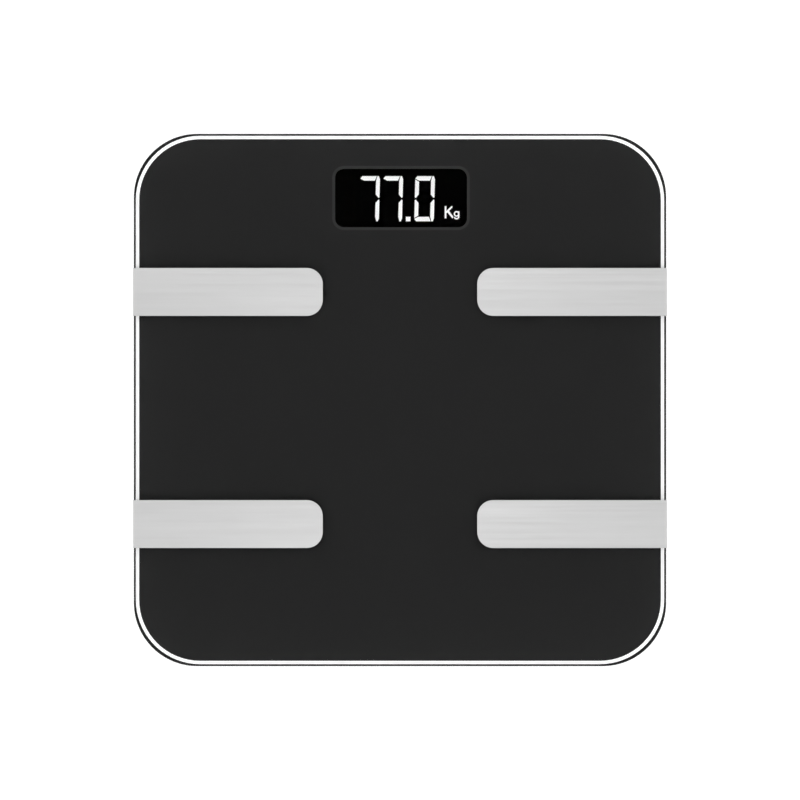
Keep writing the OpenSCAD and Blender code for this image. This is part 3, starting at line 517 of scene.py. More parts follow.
def rounded(
    width: float, depth: float, radius: float, centre: Pair = (0.0, 0.0), steps: int = 10,
) -> list[Pair]:
    """Outline of a rectangle with round corners, anticlockwise.

    Args:
        width: Size along X.
        depth: Size along Y.
        radius: Corner radius.
        centre: Middle of the rectangle.
        steps: Edges in each corner.

    Returns:
        The outline's points.
    """
    points = []
    for corner, (side_x, side_y) in enumerate(((1, -1), (1, 1), (-1, 1), (-1, -1))):
        middle_x = centre[0] + side_x * (width / 2 - radius)
        middle_y = centre[1] + side_y * (depth / 2 - radius)
        for step in range(steps + 1):
            turn = math.radians(-90 + 90 * corner + 90 * step / steps)
            points.append((middle_x + radius * math.cos(turn), middle_y + radius * math.sin(turn)))
    return points


def level(outline: Sequence[Pair], height: float) -> list[Point]:
    """Lifts a flat outline to a height."""
    return [(x, y, height) for x, y in outline]


def circle(radius: float, height: float, steps: int, place: Matrix) -> list[Point]:
    """Ring of points round a lathe's axis, or its one point on the axis.

    Args:
        radius: Radius of the ring.
        height: Place along the axis.
        steps: Points in the ring.
        place: Where the lathe's own axis, Z, lies.

    Returns:
        The ring's points.
    """
    if radius < 1e-9:
        return [tuple(place @ Vector((0.0, 0.0, height)))]
    turns = (2 * math.pi * step / steps for step in range(steps))
    return [
        tuple(place @ Vector((radius * math.cos(turn), radius * math.sin(turn), height)))
        for turn in turns
    ]


def smooth_route(route: Sequence[Point], steps: int) -> list[Vector]:
    """Runs a smooth curve through a route's points.

    Args:
        route: The points, in order.
        steps: Stretches between two of them.

    Returns:
        The curve's points.
    """
    points = [Vector(point) for point in route]
    last = len(points) - 1
    curve = []
    for i in range(last):
        before, start = points[max(i - 1, 0)], points[i]
        end, after = points[i + 1], points[min(i + 2, last)]
        for step in range(steps):
            u = step / steps
            curve.append(0.5 * (
                2 * start + u * (end - before)
                + u * u * (2 * before - 5 * start + 4 * end - after)
                + u ** 3 * (3 * start - before - 3 * end + after)
            ))
    return [*curve, points[last]]


class Skin:
    """A mesh under construction, made of skins between rings of points."""

    def __init__(self) -> None:
        """Starts with an empty mesh."""
        self.mesh = bmesh.new()

    def loft(self, rings: Sequence[Ring], slot: int = 0, open_ends: bool = False) -> "Skin":
        """Stretches a skin over rings that have as many points each, or one.

        Args:
            rings: The rings, in order.
            slot: Material slot of the faces.
            open_ends: Whether the ends are left open, for another skin to close.

        Returns:
            The skin itself, so that calls can follow each other.
        """
        made = [[self.mesh.verts.new(point) for point in ring] for ring in rings]
        faces = []
        for low, high in zip(made, made[1:]):
            count = max(len(low), len(high))
            for i in range(count):
                j = (i + 1) % count
                corners = [
                    low[i % len(low)], low[j % len(low)], high[j % len(high)], high[i % len(high)],
                ]
                faces.append(self.mesh.faces.new(list(dict.fromkeys(corners))))
        if not open_ends:
            faces += [self.mesh.faces.new(ring) for ring in (made[0], made[-1]) if len(ring) > 2]
        for face in faces:
            face.material_index = slot
        return self

    def lathe(
        self, profile: Sequence[Pair], place: Matrix, steps: int = 48, slot: int = 0,
        open_ends: bool = False,
    ) -> "Skin":
        """Turns a profile of radii and heights round an axis.

        Args:
            profile: Radius and height of each ring.
            place: Where the lathe's own axis, Z, lies.
            steps: Points in a ring.
            slot: Material slot of the faces.
            open_ends: Whether the ends are left open, for another skin to close.

        Returns:
            The skin itself.
        """
        rings = [circle(radius, height, steps, place) for radius, height in profile]
        return self.loft(rings, slot, open_ends)

    def tube(self, path: Sequence[Vector], radius: float, sides: int = 12, slot: int = 0) -> "Skin":
        """Sweeps a round tube along a path.

        Args:
            path: Points of the centre line.
            radius: Radius of the tube.
            sides: Points round the tube.
            slot: Material slot of the faces.

        Returns:
            The skin itself.
        """
        rings, side = [], None
        for i, point in enumerate(path):
            run = (path[min(i + 1, len(path) - 1)] - path[max(i - 1, 0)]).normalized()
            if side is None:
                side = run.cross(Vector((0.0, 0.0, 1.0)))
                if side.length < 0.3:
                    side = run.cross(Vector((1.0, 0.0, 0.0)))
            side = (side - side.dot(run) * run).normalized()
            other = run.cross(side)
            turns = [2 * math.pi * step / sides for step in range(sides)]
            rings.append([
                tuple(point + radius * (math.cos(turn) * side + math.sin(turn) * other))
                for turn in turns
            ])
        return self.loft(rings, slot)

    def piece(self, name: str, finishes: Sequence[Finish], sharp: float = 40.0) -> bpy.types.Object:
        """Closes the mesh and makes its object.

        Args:
            name: Name of the piece.
            finishes: Finish of each material slot.
            sharp: Angle in degrees past which an edge stays sharp.

        Returns:
            The new object, linked to the scene.
        """
        bmesh.ops.remove_doubles(self.mesh, verts=self.mesh.verts, dist=1e-7)
        bmesh.ops.recalc_face_normals(self.mesh, faces=self.mesh.faces)
        data = bpy.data.meshes.new(name)
        self.mesh.to_mesh(data)
        self.mesh.free()
        for finish in finishes:
            data.materials.append(finish.material())
        made = bpy.data.objects.new(name, data)
        bpy.context.scene.collection.objects.link(made)
        return soften(made, sharp)


def plain_mesh(made: bpy.types.Object) -> bpy.types.Object:
    """Turns a piece and its modifiers into its plain mesh.

    Args:
        made: The piece.

    Returns:
        The piece, with no modifiers left.
    """
    graph = bpy.context.evaluated_depsgraph_get()
    data = bpy.data.meshes.new_from_object(made.evaluated_get(graph))
    made.modifiers.clear()
    spare = made.data
    made.data = data
    bpy.data.meshes.remove(spare)
    return made


def soften(made: bpy.types.Object, sharp: float) -> bpy.types.Object:
    """Shades a piece smoothly, with its flats kept flat and its sharp edges kept sharp.

    Args:
        made: The piece.
        sharp: Angle in degrees past which an edge stays sharp.

    Returns:
        The piece.
    """
    data = made.data
    data.polygons.foreach_set("use_smooth", [True] * len(data.polygons))
    data.set_sharp_from_angle(angle=math.radians(sharp))
    data.update()
    weigh = made.modifiers.new("Flat faces first", "WEIGHTED_NORMAL")
    weigh.keep_sharp = True
    weigh.weight = 100
    return plain_mesh(made)


def installed(
    made: bpy.types.Object, body: str, nodes: Sequence[str],
) -> bpy.types.Object:
    """Puts a finished piece on its body and in place of its nodes.

    Args:
        made: The piece.
        body: Body that it rides on.
        nodes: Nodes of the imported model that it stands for.

    Returns:
        The piece.
    """
    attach(made, body)
    if nodes:
        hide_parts(*nodes)
    log.info("%s: %d faces, on %s", made.name, len(made.data.polygons), body)
    return made


# ---- Geometry Nodes ----


class Grower:
    """A Geometry Nodes tree with named inputs, and the pieces grown with it."""

    def __init__(self, name: str) -> None:
        """Opens a tree that takes a geometry and a material.

        Args:
            name: Name of the tree.
        """
        self.tree = bpy.data.node_groups.new(name, "GeometryNodeTree")
        for way in ("INPUT", "OUTPUT"):
            self.tree.interface.new_socket(
                "Geometry", in_out=way, socket_type="NodeSocketGeometry")
        self.tree.interface.new_socket(
            "Material", in_out="INPUT", socket_type="NodeSocketMaterial")
        self.given = self.tree.nodes.new("NodeGroupInput")
        self.out = self.tree.nodes.new("NodeGroupOutput")

    def takes(self, name: str, kind: str = "Float") -> bpy.types.NodeSocket:
        """Adds a named input.

        Args:
            name: Name of the input.
            kind: Kind of socket, such as Float or Int.

        Returns:
            The input's socket inside the tree.
        """
        self.tree.interface.new_socket(name, in_out="INPUT", socket_type="NodeSocket" + kind)
        return self.given.outputs[name]

    def add(self, kind: str, **inputs: object) -> bpy.types.Node:
        """Adds a node, with values or links on its inputs.

        Args:
            kind: Node type.
            inputs: Values or output sockets by input name, with _ for a space.

        Returns:
            The node.
        """
        node = self.tree.nodes.new(kind)
        for name, value in inputs.items():
            found = next(s for s in node.inputs if s.name == name.replace("_", " ") and s.enabled)
            if isinstance(value, bpy.types.NodeSocket):
                self.tree.links.new(value, found)
            else:
                found.default_value = value
        return node

    def times(
        self, first: bpy.types.NodeSocket, second: float | bpy.types.NodeSocket,
    ) -> bpy.types.NodeSocket:
        """Multiplies two values.

        Args:
            first: First value.
            second: Second value, a number or a socket.

        Returns:
            The product's socket.
        """
        node = self.tree.nodes.new("ShaderNodeMath")
        node.operation = "MULTIPLY"
        self.tree.links.new(first, node.inputs[0])
        if isinstance(second, bpy.types.NodeSocket):
            self.tree.links.new(second, node.inputs[1])
        else:
            node.inputs[1].default_value = second
        return node.outputs[0]

    def close(self, grown: bpy.types.NodeSocket, keep: bool = False) -> "Grower":
        """Ends the tree in Realize Instances and Set Material.

        Args:
            grown: Geometry that the tree has made.
            keep: Whether the piece's own mesh is kept beside it.

        Returns:
            The grower itself.
        """
        real = self.add("GeometryNodeRealizeInstances", Geometry=grown)
        painted = self.add(
            "GeometryNodeSetMaterial", Geometry=real.outputs[0],
            Material=self.given.outputs["Material"])
        result = painted.outputs[0]
        if keep:
            both = self.tree.nodes.new("GeometryNodeJoinGeometry")
            self.tree.links.new(self.given.outputs["Geometry"], both.inputs[0])
            self.tree.links.new(result, both.inputs[0])
            result = both.outputs[0]
        self.tree.links.new(result, self.out.inputs["Geometry"])
        return self

    def grow(
        self, made: bpy.types.Object, finish: Finish, sharp: float = 40.0,
        **values: float,
    ) -> bpy.types.Object:
        """Grows the tree on a piece and turns the result into its plain mesh.

        Args:
            made: Piece whose mesh the tree starts from.
            finish: Finish of what grows.
            sharp: Angle in degrees past which an edge stays sharp.
            values: Sizes by input name, with _ for a space.

        Returns:
            The piece.
        """
        modifier = made.modifiers.new(self.tree.name, "NODES")
        modifier.node_group = self.tree
        for item in self.tree.interface.items_tree:
            if item.item_type != "SOCKET" or item.in_out != "INPUT":
                continue
            if item.name == "Material":
                modifier[item.identifier] = finish.material()
            elif item.name.replace(" ", "_") in values:
                modifier[item.identifier] = values[item.name.replace(" ", "_")]
        return soften(plain_mesh(made), sharp)


def spring_grower() -> Grower:
    """Tree that winds a conical spring on each point, out along its side.

    Returns:
        The tree's grower, with Turns, Wide, Narrow, Run and Wire as sizes.
    """
    made = Grower("Contact springs")
    turns, wide, narrow, run, wire = (
        made.takes(name) for name in ("Turns", "Wide", "Narrow", "Run", "Wire"))
    coil = made.add(
        "GeometryNodeCurveSpiral", Resolution=36, Rotations=turns, Start_Radius=wide,
        End_Radius=narrow, Height=run)
    round_wire = made.add("GeometryNodeCurvePrimitiveCircle", Resolution=10, Radius=wire)
    swept = made.add(
        "GeometryNodeCurveToMesh", Curve=coil.outputs[0], Profile_Curve=round_wire.outputs[0],
        Fill_Caps=True)
    side = made.tree.nodes.new("GeometryNodeInputNamedAttribute")
    side.data_type = "FLOAT"
    side.inputs["Name"].default_value = "side"
    turn = made.add("ShaderNodeCombineXYZ", Y=made.times(side.outputs[0], -math.pi / 2))
    seats = made.add(
        "GeometryNodeInstanceOnPoints", Points=made.given.outputs["Geometry"],
        Instance=swept.outputs[0], Rotation=turn.outputs[0])
    return made.close(seats.outputs[0])


def rib_grower() -> Grower:
    """Tree that lays a row of half-round ribs along Y.

    Returns:
        The tree's grower, with Count, Pitch, Length, Radius and Start as sizes.
    """
    made = Grower("Grip ribs")
    count = made.takes("Count", "Int")
    pitch, length, radius = (made.takes(name) for name in ("Pitch", "Length", "Radius"))
    start = made.takes("Start", "Vector")
    step = made.add("ShaderNodeCombineXYZ", Y=pitch)
    row = made.add(
        "GeometryNodeMeshLine", Count=count, Start_Location=start, Offset=step.outputs[0])
    half = made.times(length, 0.5)
    left = made.add("ShaderNodeCombineXYZ", X=made.times(half, -1.0))
    right = made.add("ShaderNodeCombineXYZ", X=half)
    bar = made.add(
        "GeometryNodeCurvePrimitiveLine", Start=left.outputs[0], End=right.outputs[0])
    profile = made.add("GeometryNodeCurvePrimitiveCircle", Resolution=12, Radius=radius)
    swept = made.add(
        "GeometryNodeCurveToMesh", Curve=bar.outputs[0], Profile_Curve=profile.outputs[0],
        Fill_Caps=True)
    ribs = made.add(
        "GeometryNodeInstanceOnPoints", Points=row.outputs[0], Instance=swept.outputs[0])
    return made.close(ribs.outputs[0], keep=True)


def tread_grower() -> Grower:
    """Tree that sets rubber blocks in a circle, each turned to face the middle.

    Returns:
        The tree's grower, with Count, Radius, Height and Block as sizes.
    """
    made = Grower("Tread blocks")
    count = made.takes("Count", "Int")
    radius, height = made.takes("Radius"), made.takes("Height")
    block = made.takes("Block", "Vector")
    ring = made.add("GeometryNodeCurvePrimitiveCircle", Resolution=count, Radius=radius)
    place = made.add("ShaderNodeCombineXYZ", Z=height)
    lifted = made.add(
        "GeometryNodeTransform", Geometry=ring.outputs[0], Translation=place.outputs[0])
    spots = made.tree.nodes.new("GeometryNodeCurveToPoints")
    spots.mode = "EVALUATED"
    made.tree.links.new(lifted.outputs[0], spots.inputs[0])
    ball = made.add("GeometryNodeMeshCube", Size=block, Vertices_X=4, Vertices_Y=4, Vertices_Z=4)
    smooth = made.add("GeometryNodeSubdivisionSurface", Mesh=ball.outputs[0], Level=1)
    blocks = made.add(
        "GeometryNodeInstanceOnPoints", Points=spots.outputs["Points"],
        Instance=smooth.outputs[0], Rotation=spots.outputs["Rotation"])
    return made.close(blocks.outputs[0], keep=True)


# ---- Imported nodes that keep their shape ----


def dress(node: str, finish: Finish) -> None:
    """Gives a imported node's own mesh a finish.

    Args:
        node: Name of the node.
        finish: Its finish.
    """
    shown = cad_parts[node]
    if not shown.material_slots:
        shown.data.materials.append(finish.material())
    for place in shown.material_slots:
        place.material = finish.material()
    log.info("%s: packed shape in %s", node, finish.name)


def refined(node: str, name: str, body: str, finish: Finish, edge: float) -> bpy.types.Object:
    """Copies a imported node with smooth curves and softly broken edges.

    Args:
        node: Node that is copied and replaced.
        name: Name of the new piece.
        body: Body that it rides on.
        finish: Its finish.
        edge: Width of the broken edges.

    Returns:
        The piece.
    """
    work = bmesh.new()
    work.from_mesh(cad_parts[node].data)
    bmesh.ops.remove_doubles(work, verts=work.verts, dist=2e-6)
    bmesh.ops.dissolve_limit(
        work, angle_limit=math.radians(0.4), verts=work.verts, edges=work.edges)
    data = bpy.data.meshes.new(name)
    work.to_mesh(data)
    work.free()
    data.materials.append(finish.material())
    made = bpy.data.objects.new(name, data)
    bpy.context.scene.collection.objects.link(made)
    bevel = made.modifiers.new("Broken edges", "BEVEL")
    bevel.width = edge
    bevel.segments = 2
    bevel.limit_method = "ANGLE"
    bevel.angle_limit = math.radians(35)
    soften(plain_mesh(made), 28.0)
    return installed(made, body, [node])


# ---- Glass top ----


@dataclass
class GlassTop:
    """Glass plate with its printed backing and four wrapped electrode strips."""

    corner: float = 33.4 * MM
    arris: float = 0.2 * MM
    arris_steps: int = 4
    bond: float = 0.02 * MM
    strip_end: float = 8.4 * MM
    strip_edge: float = 0.06 * MM
    strip_bend: float = 0.55 * MM
    flange: float = 3.3 * MM
    tab: float = 8.0 * MM
    tab_width: float = 4.0 * MM

    def build(self) -> None:
        """Makes the glass and the strips, and dresses the print."""
        self._plate()
        for name, side in STRIPS.items():
            self._strip(name, side)
        dress("backing_film", BLACK_PRINT)
        dress("border_line", WHITE_PRINT_PAINTED_GLOW)
        dress("window_frame_print", GREY_PRINT)

    def _plate(self) -> None:
        """Makes the plate, with its edge rounded above and below."""
        low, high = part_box("glass_platform")
        width, depth = high.x - low.x, high.y - low.y
        turns = [0.5 * math.pi * step / self.arris_steps for step in range(self.arris_steps + 1)]
        edge = [
            (self.arris * (1 - math.sin(turn)), self.arris * (1 - math.cos(turn)))
            for turn in turns
        ]
        profile = [(inset, low.z - self.bond + rise) for inset, rise in edge]
        profile += [(inset, high.z - rise) for inset, rise in reversed(edge)]
        rings = [
            level(rounded(
                width - 2 * inset, depth - 2 * inset, self.corner - inset, steps=24), height)
            for inset, height in profile
        ]
        plate = Skin().loft(rings).piece("glass_plate", [GLASS])
        installed(plate, "platform", ["glass_platform"])

    def _strip(self, name: str, side: float) -> None:
        """Makes one strip, from its round end on the glass round the edge to its contact tab.

        Args:
            name: Which strip it is.
            side: -1 for the left side, 1 for the right.
        """
        low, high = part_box("electrode_" + name)
        middle, half = (low.y + high.y) / 2, (high.y - low.y) / 2
        outer = max(abs(low.x), abs(high.x))
        inner = min(abs(low.x), abs(high.x))
        thick = high.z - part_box("glass_platform")[1].z
        rings = []
        for step in range(13):
            turn = 0.5 * math.pi * step / 12
            back = self.strip_end * (1 - math.cos(turn))
            reach = half - self.strip_end * (1 - math.sin(turn))
            rings.append(self._section(inner + back, high.z, 0.0, reach, thick, middle, side))
        for share in (0.3, 0.6, 0.9):
            along = inner + self.strip_end + share * (outer - inner - 2 * self.strip_end)
            rings.append(self._section(along, high.z, 0.0, half, thick, middle, side))
        for corner, height, first in (
            (outer - self.strip_bend, high.z - self.strip_bend, 0.0),
            (outer - self.strip_bend, low.z + self.strip_bend, 90.0),
        ):
            for step in range(7):
                turn = math.radians(first + 15 * step)
                rings.append(self._section(
                    corner + self.strip_bend * math.sin(turn),
                    height + self.strip_bend * math.cos(turn), turn, half, thick, middle, side))
        end = outer - thick - self.flange
        rings.append(self._section(end, low.z, math.pi, half, thick, middle, side))
        rings.append(self._section(
            end - self.strip_edge, low.z, math.pi, self.tab_width / 2, thick, middle, side))
        rings.append(self._section(
            end - self.tab, low.z, math.pi, self.tab_width / 2, thick, middle, side))
        strip = Skin().loft(rings).piece("steel_strip_" + name, [STEEL_PAINTED_SHEEN], 50.0)
        installed(strip, "platform", ["electrode_" + name])

    def _section(
        self, x: float, z: float, turn: float, half: float, thick: float, middle: float,
        side: float,
    ) -> list[Point]:
        """Cross-section of a strip with softly broken edges.

        Args:
            x: Distance of its outer face from the centre line.
            z: Height of its outer face.
            turn: How far the strip has bent over from lying face up, in radians.
            half: Half of its width.
            thick: Thickness of the sheet.
            middle: Middle of the strip across.
            side: -1 for the left side, 1 for the right.

        Returns:
            The section's ring.
        """
        edge = self.strip_edge
        outline = [
            (-half, edge), (-half + edge, 0.0), (half - edge, 0.0), (half, edge),
            (half, thick), (-half, thick),
        ]
        return [
            (side * (x - deep * math.sin(turn)), middle + wide, z - deep * math.cos(turn))
            for wide, deep in outline
        ]


# ---- Display and board ----


@dataclass
class Display:
    """Reflector, gasket and lit bars behind the window."""

    parts: dict[str, Finish] = field(default_factory=lambda: {
        "display_housing": REFLECTOR, "display_gasket": GASKET, "display_segments_lit": LIT,
        "display_segments_unlit": DARK_DIFFUSER, "unit_legend": LIT, "display_leds": LED,
        "display_pins": PINS,
    })

    def build(self) -> None:
        """Dresses the display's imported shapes."""
        for node, finish in self.parts.items():
            dress(node, finish)


@dataclass
class Board:
    """Circuit board with everything soldered or screwed to it."""

    parts: dict[str, Finish] = field(default_factory=lambda: {
        "main_board": BOARD, "controller_chip": CHIP, "board_components": CERAMIC,
        "crystal": CAN, "radio_antenna": COPPER, "wire_connectors": SOCKET,
        "switch_body": CHIP, "switch_plunger": PLUNGER, "board_screws": SCREW,
        "bonding_tape": FOAM,
    })

    def build(self) -> None:
        """Dresses the board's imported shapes."""
        for node, finish in self.parts.items():
            dress(node, finish)


# ---- Shell and button ----


@dataclass
class Shell:
    """Moulded base with the unit button in its floor."""

    edge: float = 0.12 * MM
    cap_round: float = 0.8 * MM
    cap_dish: float = 0.25 * MM
    cap_radius: float = 5.0 * MM
    flange_edge: float = 0.1 * MM

    def build(self) -> None:
        """Makes the shell and the button."""
        refined("base_shell", "moulded_base", "platform", SHELL, self.edge)
        self._button()

    def _button(self) -> None:
        """Makes the button: a dished cap on a flange."""
        low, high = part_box("unit_button")
        wide = (high.x - low.x) / 2
        place = Matrix.Translation(((low.x + high.x) / 2, (low.y + high.y) / 2, 0.0))
        flange_low = high.z - MM
        dish = [
            (share * (self.cap_radius - self.cap_round), low.z + self.cap_dish * (1 - share ** 2))
            for share in (0.0, 0.2, 0.4, 0.6, 0.8, 0.95)
        ]
        turns = [0.5 * math.pi * step / 5 for step in range(6)]
        shoulder = [
            (
                self.cap_radius - self.cap_round * (1 - math.sin(turn)),
                low.z + self.cap_round * (1 - math.cos(turn)),
            )
            for turn in turns
        ]
        rim = [
            (self.cap_radius, flange_low), (wide - self.flange_edge, flange_low),
            (wide, flange_low + self.flange_edge), (wide, high.z - self.flange_edge),
            (wide - self.flange_edge, high.z), (0.0, high.z),
        ]
        button = Skin().lathe([*dish, *shoulder, *rim], place, 64).piece("unit_key", [BUTTON])
        installed(button, "button", ["unit_button"])


# ---- Battery bay ----


@dataclass
class BatteryBay:
    """Door, cells and contacts."""

    door_corner: float = 2.0 * MM
    door_round: float = 0.35 * MM
    door_thick: float = 1.8 * MM
    barrel: float = 1.5 * MM
    pin: float = 0.8 * MM
    pin_length: float = 2.0 * MM
    slot_x: float = 6.5 * MM
    slot_width: float = 1.0 * MM
    slot_length: float = 7.5 * MM
    rib_count: int = 5
    rib_pitch: float = 1.25 * MM
    rib_length: float = 9.0 * MM
    rib_radius: float = 0.3 * MM
    foam_round: float = 0.35 * MM
    cell_radius: float = 5.25 * MM
    nub_radius: float = 1.9 * MM
    nub_length: float = 0.8 * MM
    cell_roll: float = 0.25 * MM
    sleeve_step: float = 0.1 * MM
    sleeve_shoulder: float = 0.5 * MM
    groove_inset: float = 1.15 * MM
    groove_drop: float = 0.2 * MM
    back_inset: float = 0.8 * MM
    back_drop: float = 0.02 * MM
    back_groove: float = 0.15 * MM
    band_share: float = 0.27
    spring_wire: float = 0.35 * MM
    spring_turns: float = 3.0

    def build(self) -> None:
        """Makes the door, the foam, the cells and the springs."""
        self._door()
        self._foam()
        for number, turn in (("1", 1.0), ("2", -1.0), ("3", 1.0)):
            self._cell(number, turn)
        self._springs()
        for node in (
            "battery_contact_positive", "battery_contact_negative",
            "battery_bridge_left", "battery_bridge_right",
        ):
            dress(node, NICKEL)

    def _door(self) -> None:
        """Makes the door: panel, latch slots, barrel, pins and grip ribs."""
        low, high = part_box("battery_door")
        width = high.x - low.x - 2 * self.pin_length
        front, hinge = low.y, high.y - self.barrel
        depth = hinge - self.barrel / 2 - front
        middle = (front + hinge - self.barrel / 2) / 2
        top = low.z + self.door_thick
        turns = [0.5 * math.pi * step / 4 for step in range(5)]
        edge = [
            (self.door_round * (1 - math.sin(turn)), self.door_round * (1 - math.cos(turn)))
            for turn in turns
        ]
        profile = [(inset, low.z + rise) for inset, rise in edge]
        profile += [(0.1 * MM, top - 0.1 * MM), (0.2 * MM, top)]
        rings = [
            level(rounded(
                width - 2 * inset, depth - 2 * inset, self.door_corner - inset,
                (0.0, middle), 8), height)
            for inset, height in profile
        ]
        panel = Skin().loft(rings).piece("latch_panel", [DOOR])
        self._cut_slots(panel, front, low.z, top)
        skin = Skin()
        skin.mesh.from_mesh(panel.data)
        bpy.data.objects.remove(panel)
        along = Matrix.Translation((0.0, hinge, low.z + self.barrel)) @ Matrix.Rotation(
            math.pi / 2, 4, "Y")
        soft = 0.15 * MM
        skin.lathe([
            (0.0, -width / 2), (self.barrel - soft, -width / 2),
            (self.barrel, soft - width / 2), (self.barrel, width / 2 - soft),
            (self.barrel - soft, width / 2), (0.0, width / 2),
        ], along, 32)
        reach = width / 2 + self.pin_length
        for way in (-1, 1):
            skin.lathe([
                (0.0, way * (width / 2 - MM)), (self.pin, way * (width / 2 - MM)),
                (self.pin, way * (reach - soft)), (self.pin - soft, way * reach),
                (0.0, way * reach),
            ], along, 24)
        door = skin.piece("battery_lid", [DOOR])
        rib_grower().grow(
            door, DOOR, Count=self.rib_count, Pitch=self.rib_pitch, Length=self.rib_length,
            Radius=self.rib_radius, Start=(0.0, front + 1.6 * MM, low.z + 0.05 * MM))
        installed(door, "door", ["battery_door"])

    def _cut_slots(
        self, panel: bpy.types.Object, front: float, bottom: float, top: float,
    ) -> None:
        """Cuts the two slots that free the latch tongue.

        Args:
            panel: The door's panel.
            front: Front edge of the panel.
            bottom: Underside of the panel.
            top: Top of the panel.
        """
        cutter_skin = Skin()
        for side in (-1, 1):
            rings = [
                level(rounded(
                    self.slot_width, 2 * self.slot_length, 0.45 * MM,
                    (side * self.slot_x, front), 6), height)
                for height in (bottom - MM, top + MM)
            ]
            cutter_skin.loft(rings)
        cutter = cutter_skin.piece("latch_slots", [DOOR])
        cut = panel.modifiers.new("Latch slots", "BOOLEAN")
        cut.operation = "DIFFERENCE"
        cut.solver = "EXACT"
        cut.object = cutter
        plain_mesh(panel)
        bpy.data.objects.remove(cutter)

    def _foam(self) -> None:
        """Makes the pad that presses the cells, with its edges rolled in."""
        low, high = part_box("door_foam")
        centre = ((low.x + high.x) / 2, (low.y + high.y) / 2)
        turns = [math.pi * step / 8 for step in range(9)]
        thick = high.z - low.z
        rings = [
            level(rounded(
                high.x - low.x - 2 * self.foam_round * (1 - math.sin(turn)),
                high.y - low.y - 2 * self.foam_round * (1 - math.sin(turn)),
                1.2 * MM, centre, 6), low.z + thick * (1 - math.cos(turn)) / 2)
            for turn in turns
        ]
        pad = installed(
            Skin().loft(rings).piece("lid_foam", [FOAM], 60.0), "door", ["door_foam"])

    def _cell(self, number: str, turn: float) -> None:
        """Makes one cell: printed sleeve, metal ends and nub.

        Args:
            number: The cell's number.
            turn: 1 if its nub faces left, -1 if it faces right.
        """
        low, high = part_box("battery_" + number)
        length, radius = high.x - low.x, self.cell_radius
        start = low.x if turn > 0 else high.x
        place = Matrix.Translation((start, (low.y + high.y) / 2, (low.z + high.z) / 2))
        place = place @ Matrix.Rotation(turn * math.pi / 2, 4, "Y")
        band = self.nub_length + self.band_share * length
        roll, step, shoulder = self.cell_roll, self.sleeve_step, self.sleeve_shoulder
        groove = (radius - self.groove_inset, self.nub_length + self.groove_drop)
        back = (radius - self.back_inset, length - self.back_drop)
        metal_front = [
            (0.0, 0.0), (self.nub_radius - roll, 0.0), (self.nub_radius, roll),
            (self.nub_radius, self.nub_length), (radius - 1.2 * MM, self.nub_length), groove,
        ]
        lip = [
            groove, (radius - 0.7 * MM, self.nub_length), (radius - roll, self.nub_length + step),
            (radius, self.nub_length + shoulder), (radius, band),
        ]
        sleeve = [(radius, band), (radius, length - shoulder), (radius - roll, length - step)]
        back_lip = [(radius - roll, length - step), back]
        metal_back = [
            back, (radius - 0.9 * MM, length - self.back_groove),
            (1.8 * MM, length - self.back_groove), (1.5 * MM, length), (0.0, length),
        ]
        skin = Skin()
        for profile, slot in (
            (metal_front, 2), (lip, 1), (sleeve, 0), (back_lip, 0), (metal_back, 2),
        ):
            skin.lathe(profile, place, 48, slot, open_ends=True)
        cell = skin.piece("cell_" + number, [SLEEVE, SLEEVE_BAND, NICKEL], 50.0)
        installed(cell, "platform", ["battery_" + number])

    def _springs(self) -> None:
        """Winds the contact springs between the end plates and the cells' flat ends."""
        low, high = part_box("battery_springs")
        seats, sides = [], []
        for number, side in (("1", 1.0), ("2", -1.0), ("3", 1.0)):
            cell_low, cell_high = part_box("battery_" + number)
            end = (high.x if side > 0 else low.x) - side * self.spring_wire
            seats.append((
                end, (cell_low.y + cell_high.y) / 2, (cell_low.z + cell_high.z) / 2))
            sides.append(side)
        data = bpy.data.meshes.new("coil_springs")
        data.from_pydata(seats, [], [])
        marks = data.attributes.new("side", "FLOAT", "POINT")
        marks.data.foreach_set("value", sides)
        made = bpy.data.objects.new("coil_springs", data)
        bpy.context.scene.collection.objects.link(made)
        gap = high.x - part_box("battery_1")[1].x
        spring_grower().grow(
            made, NICKEL, 60.0, Turns=self.spring_turns, Wide=3.65 * MM, Narrow=2.15 * MM,
            Run=gap - 2 * self.spring_wire, Wire=self.spring_wire)
        installed(made, "platform", ["battery_springs"])


# ---- Feet and load cells ----


